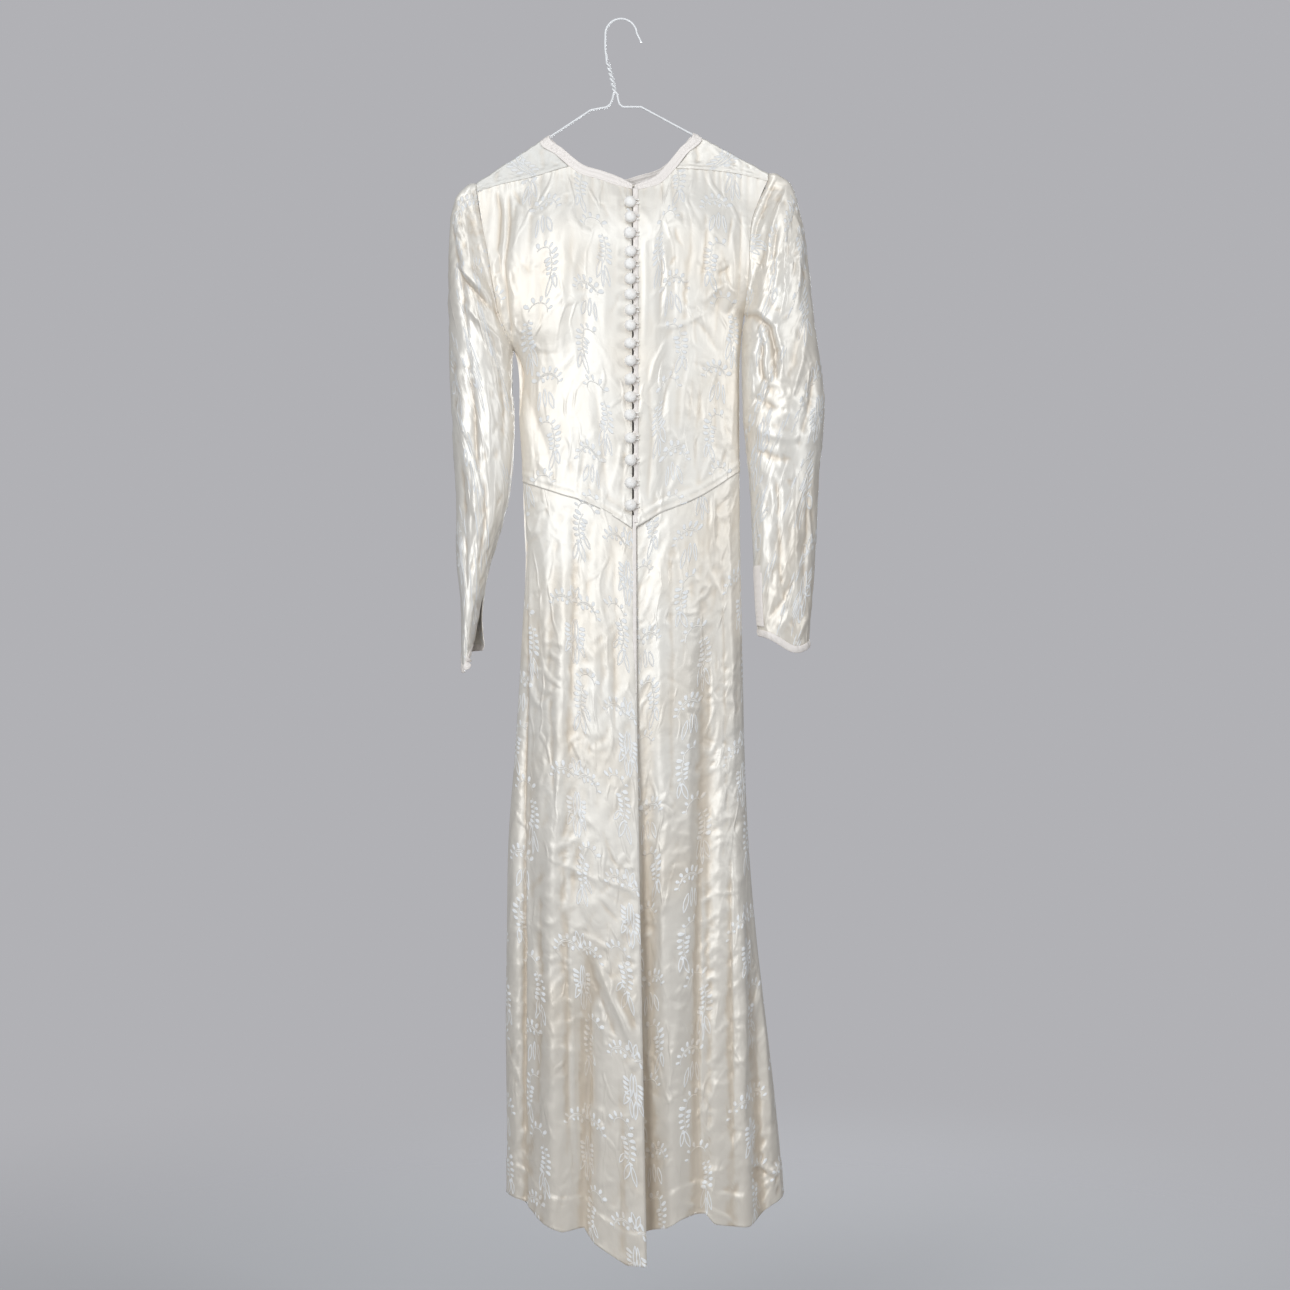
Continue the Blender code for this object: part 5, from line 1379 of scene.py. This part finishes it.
LEFT_SLEEVE_CREASES += scattered(61, 70, (-0.222, -0.180, 0.22, 0.38), (0.012, 0.035), (0.003, 0.006),
                                 (0.0005, 0.0012), 0.6, 0.8)
LEFT_SLEEVE_CREASES += scattered(62, 80, (-0.216, -0.145, 0.38, 0.80), (0.02, 0.06), (0.004, 0.007),
                                 (0.0003, 0.0010), 0.1, 0.5)
RIGHT_SLEEVE_CREASES = [
    crease_mm(11, -4, 204, 206, 190, 235, 176, 270, 168, 316),
    crease_mm(8, 2.6, 216, 216, 204, 250, 192, 290, 186, 340),
    crease_mm(9, -2.2, 228, 240, 218, 280, 210, 340),
    crease_mm(8, 2.2, 236, 270, 230, 320, 226, 380),
    crease_mm(7, -2, 202, 250, 198, 300, 196, 350),
    fold_mm(14, 5.6, 159, 384, 176, 386, 194, 403, 203, 436, 202, 474),
    fold_mm(8, 2.6, 176, 400, 184, 425, 184, 460, 192, 484),
    crease_mm(10, 2.6, 166, 430, 184, 446, 196, 480),
    crease_mm(12, 3, 240, 400, 232, 450, 216, 500),
    crease_mm(12, -3.2, 250, 450, 244, 500, 228, 560),
    crease_mm(12, -3.4, 168, 490, 190, 506, 214, 512),
    crease_mm(12, 3.4, 164, 524, 186, 540, 214, 548, 240, 540),
    crease_mm(11, -2.8, 172, 560, 196, 572, 222, 574),
    crease_mm(10, 2.4, 178, 590, 184, 660, 188, 730),
    crease_mm(11, -2.4, 200, 590, 204, 660, 206, 740),
    crease_mm(11, 2.4, 224, 580, 224, 660, 226, 750),
    crease_mm(8, -2, 242, 600, 238, 680, 236, 760),
    crease_mm(8, 2.2, 232, 754, 214, 780, 194, 806),
    crease_mm(8, -2, 224, 720, 208, 756, 188, 784),
    crease_mm(6, 1.8, 244, 770, 234, 790, 226, 810),
]
RIGHT_SLEEVE_CREASES += scattered(71, 60, (0.170, 0.240, 0.21, 0.40), (0.012, 0.040), (0.003, 0.006),
                                  (0.0004, 0.0011), -0.3, 0.6)
RIGHT_SLEEVE_CREASES += scattered(72, 90, (0.170, 0.250, 0.40, 0.80), (0.02, 0.06), (0.004, 0.008),
                                  (0.0003, 0.0009), 0.1, 0.7)
print(len(LEFT_SLEEVE_CREASES), "and", len(RIGHT_SLEEVE_CREASES), "creases for the sleeves")


# %% Sleeve form
def ring_at(rings, name, s):
    return curve_through(np.linspace(0.0, 1.0, len(rings)), [getattr(ring, name) for ring in rings], s)


def sleeve_form(side, around, s, spread):
    """A sleeve's points, round from under the arm by the front, the shoulder and the back."""
    left = side == LEFT
    rings, armhole, tip = ((SLEEVE_LEFT, ARMHOLE_LEFT, POINT_LEFT) if left
                           else (SLEEVE_RIGHT, ARMHOLE_RIGHT, POINT_RIGHT))
    angle = 2 * math.pi * around
    outer, inner = (np.stack([ring_at(rings, edge + "_x", s), ring_at(rings, edge + "_drop", s)], axis=-1)
                    for edge in ("outer", "inner"))
    flat = (outer + inner) / 2 - (outer - inner) / 2 * np.cos(angle)[..., None]
    depth = ring_at(rings, "half_depth", s) * np.sin(angle)
    lens = np.stack([flat[..., 0], depth, -flat[..., 1]], axis=-1)
    place = along(armhole, (1 + np.cos(angle)) / 2)
    on_front, on_back = (on_body(place[..., 0], place[..., 1], sheet) for sheet in (FRONT, BACK))
    seam = np.where((np.sin(angle) > 0)[..., None], on_front, on_back)
    top, foot = rings[0][0:2], rings[0][2:4]
    across_first = (1 - np.cos(angle)) / 2
    first = np.stack([foot[0] + (top[0] - foot[0]) * across_first, rings[0].half_depth * np.sin(angle),
                      -(foot[1] + (top[1] - foot[1]) * across_first)], axis=-1)
    points = lens + (seam - first) * (1 - eased(s / 0.18))[..., None]
    nearness = swell_at(around, tip.place, tip.half_width)
    points[..., 2] -= tip.fall * nearness * eased((s - 0.84) / 0.16)
    opened = eased((s - SLIT_TOP) / (1 - SLIT_TOP)) * eased((0.16 - around) / 0.16)
    points[..., 0] += spread * opened
    return points


def sleeve_panel(side, columns, rows):
    left = side == LEFT
    creases = LEFT_SLEEVE_CREASES if left else RIGHT_SLEEVE_CREASES
    down = np.linspace(0.0, 1.0, rows)
    down = 0.75 * down + 0.25 * down ** 2
    around, s = np.meshgrid(np.linspace(0.0008, 0.9992, columns), down)
    base = sleeve_form(side, around, s, SLIT_SPREAD if left else 0.0)
    x, drop = base[..., 0], -base[..., 2]
    behind = eased((around - 0.53) / 0.05) * eased((0.985 - around) / 0.03)
    before = eased((around - 0.015) / 0.03) * eased((0.47 - around) / 0.05)
    mirrored = crease_height(x + 0.004 * side, drop - 0.018, creases)
    height = crease_height(x, drop, creases) * behind + mirrored * before
    height = height * eased(s / 0.03) * (1 - 0.6 * eased((s - 0.95) / 0.05))
    height += ripple(around * 0.3, drop, 9 if left else 10, 0.06, 0.0016, 1.5) * eased(s / 0.03)
    round_tube = around * TUBE_ROUND
    small = crumple(round_tube, drop, 200 if left else 230, 0.014, 0.034, 0.0018)
    slant_across, slant_down = round_tube + 0.4 * drop, drop - around * 0.1
    small += crumple(slant_across, slant_down, 215 if left else 245, 0.009, 0.018, 0.0011)
    small += crumple(round_tube, drop, 260, 0.008, 0.014, 0.0012) * np.exp(-s / 0.16)
    height += small * eased(s / 0.03) * eased(around / 0.02) * eased((1 - around) / 0.02)
    cap = swell_at(around, 0.55, 0.30)
    puff = 0.0030 * cap * swell_at(s, 0.030, 0.024) - 0.0012 * (1 - eased(s / 0.010))
    pulled = np.sin(2 * math.pi * CAP_GATHERS * around + 4 * np.sin(19 * around))
    pulled = pulled * np.exp(-s / 0.035) * eased(s / 0.008)
    points = moved_out(base, height + puff + 0.0006 * pulled * cap, side)
    return points, flat_measure(base, columns // 2, (0.40 if left else 0.57, 0.10))


sleeves, sleeve_points = [], []
for label, side in (("left", LEFT), ("right", RIGHT)):
    points, measure = sleeve_panel(side, 108, 222)
    sleeve_points.append(points)
    nodes = [f"sleeve_{label}"]
    sleeves.append(add_cloth(f"satin_sleeve_{label}", points, measure, satin, nodes, side))


# %% [markdown]
# ## Bindings
#
# Every raw edge is bound with a narrow bias strip, folded over and sewn. It wrinkles on the slant
# because it is cut on the bias, and a round cross-section with slanting wrinkles shows that.

# %% Bias satin
BIAS_SLANT, BIAS_THREADS = 0.7, (900.0, 120.0, 1.0)
WORN_SHARE = 0.88


def make_bias(name, colour, roughness):
    tree, shader, material = new_material(name)
    cloth = node(tree, "UVMap", uv_map="cloth").outputs[0]
    slant = {"Vector": cloth, "Rotation": (0.0, 0.0, BIAS_SLANT), "Scale": BIAS_THREADS}
    threads = noise(tree, node(tree, "Mapping", slant).outputs[0], 1.0, 2.0)
    worn = noise(tree, cloth, 25.0, 2.0)
    darker = tuple(part * WORN_SHARE for part in colour)
    tree.links.new(mixed(tree, worn, (*colour, 1.0), (*darker, 1.0)), shader.inputs["Base Color"])
    height = maths(tree, "MULTIPLY_ADD", threads, 0.25, noise(tree, cloth, 120.0, 3.0))
    add_bump(tree, shader, height, 0.5, 0.0006)
    shader.inputs["Roughness"].default_value = roughness
    shader.inputs["Sheen Weight"].default_value = 0.3
    shader.inputs["Specular IOR Level"].default_value = 0.6
    return material


bias = make_bias("bias_binding", (0.90, 0.83, 0.77), 0.45)


# %% Neck binding
def strip_row(edge, sheet, parts):
    x = edge.rim_x + (edge.seam_x - edge.rim_x) * parts
    drop = edge.rim_drop + (edge.seam_drop - edge.rim_drop) * parts
    return on_body(x, drop, sheet)


def shoulder_ends(side, sheet, parts):
    """The strip's last rows: the back one passes over the wire, and the front one stops short."""
    from_centre = NECK_HALF_WIDTH + (NECK_SEAM_AT_SHOULDER - NECK_HALF_WIDTH) * parts
    x = side * from_centre
    ridge = shoulder_drop(x)
    if sheet == FRONT:
        return [on_body(x - side * 1.4 * CLEAR, ridge + 2.2 * CLEAR, FRONT)]
    over = [on_body(x, ridge + t * CLEAR, BACK) for t in (1.0, 0.68, 0.30, 0.0)]
    return over + [on_body(x, ridge + t * CLEAR, FRONT) for t in (0.30, 0.68, 1.0)]


def neck_strip(edges, sheet, shoulders, rows, columns):
    parts = np.linspace(0.0, 1.0 + NECK_LAP / 0.0105, columns)
    known = [strip_row(edge, sheet, parts) for edge in edges]
    for side in shoulders:
        ends = shoulder_ends(side, sheet, parts)
        known = ends[::-1] + known if (side < 0) == (edges[0].rim_x < edges[-1].rim_x) else known + ends
    known = np.array(known)
    steps = np.linalg.norm(np.diff(known, axis=0), axis=-1).mean(axis=1)
    keys = np.concatenate([[0.0], np.cumsum(steps)])
    length = keys[-1]
    at = np.linspace(0.0, length, rows)
    base = np.empty((rows, columns, 3))
    for i in range(columns):
        for axis in range(3):
            base[:, i, axis] = curve_through(keys, known[:, i, axis], at)
    v = np.linspace(0.0, 1.0, columns)[None, :]
    u = at[:, None]
    thin = 0.35 + 0.65 * eased(u / 0.020 if shoulders[0] == LEFT and len(shoulders) > 1 else 1.0)
    thin = thin * (0.35 + 0.65 * eased((length - u) / 0.022)) if shoulders else thin
    rise = 0.0003 + 0.0007 * thin * np.sin(math.pi * np.clip(v * 0.92 + 0.06, 0, 1)) ** 0.7
    slant = np.sin(2 * math.pi * (u / 0.0070 + 0.9 * v) + 3.2 * np.sin(u * 150)) * np.sin(math.pi * v)
    slant = slant + 0.6 * np.sin(2 * math.pi * (u / 0.0031 - 0.6 * v) + 3 * np.sin(u * 90))
    strength = 0.55 + 0.45 * np.sin(u * 67 + 1.0)
    groove = (swell_at(v, 0.74, 0.06) + 0.6 * swell_at(v, 0.34, 0.07)) * 0.0007
    return base, rise + 0.00038 * slant * strength - groove, flat_measure(base, 0)


for name, edges, sheet, shoulders, side in (
    ("neck_binding_back_left", NECK_BACK_LEFT, BACK, (LEFT,), -1),
    ("neck_binding_back_right", NECK_BACK_RIGHT, BACK, (RIGHT,), 1),
    ("neck_binding_front", NECK_FRONT, FRONT, (LEFT, RIGHT), -1),
):
    base, lift, measure = neck_strip(edges, sheet, shoulders, 150, 15)
    points = moved_out(base, lift, side)
    add_cloth("satin_" + name, points, measure, bias, [name], side)


# %% Wrist bindings
CUFF_WIDTH = 0.0078


def cuff_strip(last, above, columns=12):
    """A strip that carries a sleeve's last row on downwards, square to that row."""
    round_rim = np.gradient(last, axis=0)
    round_rim = round_rim / np.linalg.norm(round_rim, axis=-1, keepdims=True)
    down = last - above
    down = down - round_rim * (down * round_rim).sum(axis=-1, keepdims=True)
    down = down / np.linalg.norm(down, axis=-1, keepdims=True)
    return np.array([last + down * part for part in np.linspace(-0.0012, CUFF_WIDTH, columns)])


for label, side, points in (("left", LEFT, sleeve_points[0]), ("right", RIGHT, sleeve_points[1])):
    base = cuff_strip(points[-1], points[-3])
    v = np.linspace(0.0, 1.0, base.shape[0])[:, None]
    steps = np.linalg.norm(np.diff(points[-1], axis=0), axis=-1)
    u = np.cumsum(np.concatenate([[0.0], steps]))[None, :]
    lift = 0.0012 * np.sin(math.pi * np.clip(v * 0.9 + 0.08, 0, 1)) ** 0.7
    lift = lift + 0.0003 * np.sin(2 * math.pi * (u / 0.007 + v) + 2 * np.sin(u * 150)) * np.sin(math.pi * v)
    add_cloth(f"satin_cuff_{label}", moved_out(base, lift, side), flat_measure(base, 0), bias,
                              [f"cuff_binding_{label}"], side)

# %% Strip along the right wrist's slit
rows, columns = 50, 12
around, s = np.meshgrid(np.linspace(0.885, 0.985, columns), np.linspace(0.835, 0.985, rows))
base = sleeve_form(RIGHT, around, s, 0.0)
v = np.linspace(0.0, 1.0, columns)[None, :]
lift = 0.0016 + 0.0008 * np.sin(math.pi * v) + 0.0002 * np.sin(s * 400) * np.sin(math.pi * v)
add_cloth("satin_wrist_placket", moved_out(base, lift, RIGHT), flat_measure(base, 0), bias,
                          ["wrist_placket_right"], RIGHT)


# %% Bound edges of the opening
def opening_strip(x_low, x_high, drop_low, drop_high, rows, columns, pinch):
    drops, parts = np.linspace(drop_low, drop_high, rows), np.linspace(0.0, 1.0, columns)
    drop, v = np.meshgrid(drops, parts, indexing="ij")
    near = np.abs(drop[..., None] - button_drops).min(axis=-1)
    gape = 0.0022 * eased((near - 0.0062) / 0.0030) * eased((drop - drop_low) / 0.45 + 0.35)
    x = x_low + gape * (1 - v) + (x_high - x_low) * v
    base = on_body(x, drop, BACK)
    lift = 0.0007 + 0.0007 * np.sin(math.pi * v) ** 0.7
    lift = lift + pinch * np.sin(2 * math.pi * (drop - drop_low) / 0.0116 + 1.2 * v) * np.sin(math.pi * v)
    return base, lift, flat_measure(base, 0)


BUTTON_COUNT, BUTTON_X = 18, 0.0122
ButtonPlace = namedtuple("ButtonPlace", "number drop")
BUTTON_PLACES = (
    ButtonPlace(1, 0.2415), ButtonPlace(3, 0.2850), ButtonPlace(4, 0.3085), ButtonPlace(5, 0.3245),
    ButtonPlace(9, 0.4030), ButtonPlace(14, 0.5175), ButtonPlace(18, 0.6335),
)
button_drops = np.interp(np.arange(1, BUTTON_COUNT + 1), *np.array(BUTTON_PLACES).T)
print("buttons", np.round(np.diff(button_drops) * 1000, 1), "mm apart")
base, lift, measure = opening_strip(OPENING_RIGHT - 0.0027, 0.0222, 0.2225, 0.6560, 260, 12, 0.0003)
points = moved_out(base, lift, -1)
add_cloth("opening_edge_right", points, measure, bias, [], -1)

BINDING_WIDTH, BINDING_FOOT = 0.0042, 0.8750
drops = np.linspace(0.646, BINDING_FOOT, 90)[:, None]
narrowing = 1 - 0.8 * eased((drops - 0.80) / 0.07)
x = column(LAPS, "edge", drops) - BINDING_WIDTH * narrowing * np.linspace(1.0, -0.06, 10)[None, :]
drop = np.broadcast_to(drops, x.shape)
base = on_body(x, drop, BACK)
v = np.linspace(0.0, 1.0, 10)[None, :]
lift = (0.0007 + 0.0003 * np.sin(math.pi * v) ** 0.7) * narrowing
lift = lift + 0.0002 * np.sin(2 * math.pi * drop / 0.012 + v)
add_cloth("satin_skirt_edge", moved_out(base, lift, -1), flat_measure(base, 0), bias,
                          ["skirt_opening_binding"], -1)


# %% [markdown]
# ## Buttons and loops
#
# The buttons are wooden moulds covered in satin that is gathered under them, so each dome is a
# little different and pulls into small pleats at its rim. Each fastens with a cord loop sewn into
# the right edge. The moulds could be one turned shape copied 18 times, but no two look alike.

# %% Button satin and buttons
BUTTON_CREAM, BUTTON_WORN = (0.93, 0.90, 0.855, 1.0), (0.80, 0.73, 0.655, 1.0)


def make_button_satin():
    tree, shader, material = new_material("button_satin_fine")
    place = node(tree, "TexCoord").outputs["Object"]
    stretched = node(tree, "Mapping", {"Vector": place, "Scale": (900.0, 200.0, 900.0)}).outputs[0]
    threads, worn = noise(tree, stretched, 1.0, 2.0), noise(tree, place, 60.0, 3.0)
    colour = mixed(tree, ranged(tree, worn, 0.60, 0.74), BUTTON_CREAM, BUTTON_WORN)
    tree.links.new(colour, shader.inputs["Base Color"])
    add_bump(tree, shader, maths(tree, "MULTIPLY_ADD", threads, 0.3, worn), 0.6, 0.0006)
    shader.inputs["Roughness"].default_value = 0.52
    shader.inputs["Sheen Weight"].default_value = 0.3
    shader.inputs["Specular IOR Level"].default_value = 0.5
    return material


button_satin = make_button_satin()
BUTTON_OUTLINE = ((0.0, 0.0108), (0.0021, 0.0107), (0.0043, 0.0101), (0.0060, 0.0088), (0.0071, 0.0071),
                  (0.0075, 0.0055), (0.0070, 0.0039), (0.0052, 0.0031), (0.0019, 0.0029), (0.0017, 0.0006))


def finish_piece(piece, material, nodes):
    piece.data.materials.append(material)
    bpy.context.scene.collection.objects.link(piece)
    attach(piece, "root")
    if nodes:
        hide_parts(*nodes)
    return piece


def add_button(number, place, rng):
    """A covered button, turned from an outline, with seeded pleats at its rim and an uneven dome."""
    outline = along(BUTTON_OUTLINE, np.linspace(0.0, 1.0, 22))
    turn = np.linspace(0.0, 2 * math.pi, 44, endpoint=False)
    radius, height = outline[:, 0][:, None], outline[:, 1][:, None]
    rim = swell_at(height, 0.0045, 0.0022)
    pleats = turn * rng.integers(11, 16) + 2 * np.sin(turn * 2 + rng.uniform(0, 6)) + rng.uniform(0, 6)
    size = 1 + rng.uniform(-0.03, 0.02) + 0.020 * np.sin(turn * 2 + rng.uniform(0, 6))
    radius = radius * (size + 0.022 * rim * np.sin(pleats))
    height = height + 0.00016 * np.sin(turn * 3 + rng.uniform(0, 6)) * (height / 0.0108) ** 3
    points = np.stack([radius * np.cos(turn), -height * np.ones_like(turn), radius * np.sin(turn)], axis=-1)
    lean = rng.uniform(-0.08, 0.08, 2)
    points[..., 0] += lean[0] * -points[..., 1]
    points[..., 2] += lean[1] * -points[..., 1]
    rows, count = points.shape[:2]
    corner = [[i * count + j % count for j in range(count + 1)] for i in range(rows)]
    faces = [(upper[j], upper[j + 1], lower[j + 1], lower[j])
             for upper, lower in zip(corner, corner[1:]) for j in range(count)]
    mesh = bpy.data.meshes.new("covered_button")
    mesh.from_pydata(points.reshape(-1, 3), [], faces)
    mesh.shade_smooth()
    button = bpy.data.objects.new(f"covered_button_{number:02d}", mesh)
    button.location = place
    return finish_piece(button, button_satin, [f"button_{number:02d}"])


def add_cord(name, points, radius, material, nodes, resolution=3):
    path = bpy.data.curves.new(name, "CURVE")
    path.dimensions = "3D"
    path.bevel_depth = radius
    path.bevel_resolution = resolution
    path.use_fill_caps = True
    spline = path.splines.new("POLY")
    spline.points.add(len(points) - 1)
    spline.points.foreach_set("co", np.column_stack([points, np.ones(len(points))]).reshape(-1))
    return finish_piece(bpy.data.objects.new(name, path), material, nodes)


LOOP_RADIUS, LOOP_ROUND, LOOP_LENGTH = 0.0008, 0.0031, 0.0112


def loop_path(drop):
    """Off the right panel, round the button's shank and back."""
    ends = [(LOOP_LENGTH, 0.8 * LOOP_ROUND), (LOOP_LENGTH / 2, 0.9 * LOOP_ROUND)]
    turns = [(-LOOP_ROUND * math.sin(t), LOOP_ROUND * math.cos(t)) for t in np.linspace(0, math.pi, 6)]
    path = along(np.array(ends + turns + [(x, -up) for x, up in ends[::-1]]), np.linspace(0.0, 1.0, 40))
    points = on_body(BUTTON_X + path[:, 0], drop - path[:, 1], BACK)
    over_edge = eased((points[:, 0] - OPENING_RIGHT + 0.002) / 0.002) * 0.0014
    points[:, 1] -= CLOTH + LOOP_RADIUS + over_edge
    return points


rng = np.random.default_rng(81)
buttons = []
for number, drop in enumerate(button_drops, start=1):
    under = on_body(np.array(BUTTON_X), np.array(drop), BACK)
    aside, up = rng.uniform(-0.0004, 0.0004, 2)
    seat = (BUTTON_X + aside, float(under[1]) - CLOTH / 2 - 0.0006, -float(drop) + up)
    buttons.append(add_button(number, seat, rng))
    add_cord(f"cord_loop_{number:02d}", loop_path(float(drop)), LOOP_RADIUS, button_satin,
             [f"loop_{number:02d}"])
print(len(buttons), "buttons, each with its loop")


# %% [markdown]
# ## Wire hanger
#
# One length of white-coated wire is bent into the whole hanger: the hook, a twisted neck, two
# arms with their ends turned under, and a lower bar. A curve with a round bevel is exactly that.

# %% Wire hanger
WIRE_RADIUS, HOOK_RADIUS, END_LOOP_RADIUS = 0.0015, 0.0205, 0.0130
TWIST_RADIUS, TWIST_TURNS = 0.00175, 2.5
TWIST_TOP, TWIST_FOOT = (-0.0170, 0.0560), (-0.0088, 0.0900)
LEFT_ARM_END, RIGHT_ARM_END = -0.1790, 0.1680
WIRE_WHITE, WIRE_WORN = (0.86, 0.86, 0.86, 1.0), (0.76, 0.75, 0.74, 1.0)


def arc(centre, radius, start_degrees, end_degrees, count):
    angles = np.radians(np.linspace(start_degrees, end_degrees, count))
    return [(centre[0] + radius * math.cos(t), centre[1] - radius * math.sin(t)) for t in angles]


def in_plane(points):
    return [(x, 0.0, -drop) for x, drop in points]


def strand(phase):
    """One of the two strands of the twisted neck, from its top to its foot."""
    top, foot = np.array(TWIST_TOP), np.array(TWIST_FOOT)
    axis = (foot - top) / np.linalg.norm(foot - top)
    sideways = np.array([axis[1], -axis[0]])
    points = []
    for t in np.linspace(0.0, 1.0, 61):
        turn = phase + 2 * math.pi * TWIST_TURNS * t
        place = top + (foot - top) * t + sideways * TWIST_RADIUS * math.cos(turn)
        points.append((place[0], TWIST_RADIUS * math.sin(turn), -place[1]))
    return points


def hanger_path():
    hook = [(0.0262, 0.0292), (0.0238, 0.0238)]
    hook += arc((0.0, HOOK_RADIUS - WIRE_RADIUS), HOOK_RADIUS, 4, 186, 37)
    hook += [(-0.0206, 0.0300), (-0.0204, 0.0400), (-0.0192, 0.0480)]
    left_leg = [(-0.0098, 0.0960), (-0.0112, 0.1030), (-0.0140, 0.1095), (-0.0190, 0.1135), LEFT_ELBOW]
    right_leg = [(-0.0050, 0.0960), (-0.0038, 0.1040), (-0.0020, 0.1095), (0.0022, 0.1131), RIGHT_ELBOW]
    left_end = (LEFT_ARM_END, LEFT_ELBOW[1] + (LEFT_ELBOW[0] - LEFT_ARM_END) * math.tan(LEFT_SLOPE))
    right_end = (RIGHT_ARM_END, RIGHT_ELBOW[1] + (RIGHT_ARM_END - RIGHT_ELBOW[0]) * math.tan(RIGHT_SLOPE))
    left_middle = (left_end[0] + END_LOOP_RADIUS * math.sin(LEFT_SLOPE),
                   left_end[1] + END_LOOP_RADIUS * math.cos(LEFT_SLOPE))
    right_middle = (right_end[0] - END_LOOP_RADIUS * math.sin(RIGHT_SLOPE),
                    right_end[1] + END_LOOP_RADIUS * math.cos(RIGHT_SLOPE))
    left_loop = arc(left_middle, END_LOOP_RADIUS, 90 + math.degrees(LEFT_SLOPE), 272, 27)
    right_loop = arc(right_middle, END_LOOP_RADIUS, -88, 90 - math.degrees(RIGHT_SLOPE), 27)
    frame_path = in_plane(left_leg + left_loop + right_loop + right_leg[::-1])
    return np.array(in_plane(hook) + strand(math.pi) + frame_path + strand(0.0)[::-1])


tree, shader, wire_coat = new_material("white_wire_coat")
place = node(tree, "TexCoord").outputs["Object"]
patches = noise(tree, place, 90.0, 3.0)
tree.links.new(mixed(tree, patches, WIRE_WHITE, WIRE_WORN), shader.inputs["Base Color"])
add_bump(tree, shader, patches, 0.25, 0.0003)
shader.inputs["Roughness"].default_value = 0.34
shader.inputs["Coat Weight"].default_value = 0.3
shader.inputs["Coat Roughness"].default_value = 0.2
wire = hanger_path()
print("wire", round(float(np.linalg.norm(np.diff(wire, axis=0), axis=1).sum()), 2), "m long")
hanger = add_cord("wire_hanger", wire, WIRE_RADIUS, wire_coat, ["hanger"], 4)
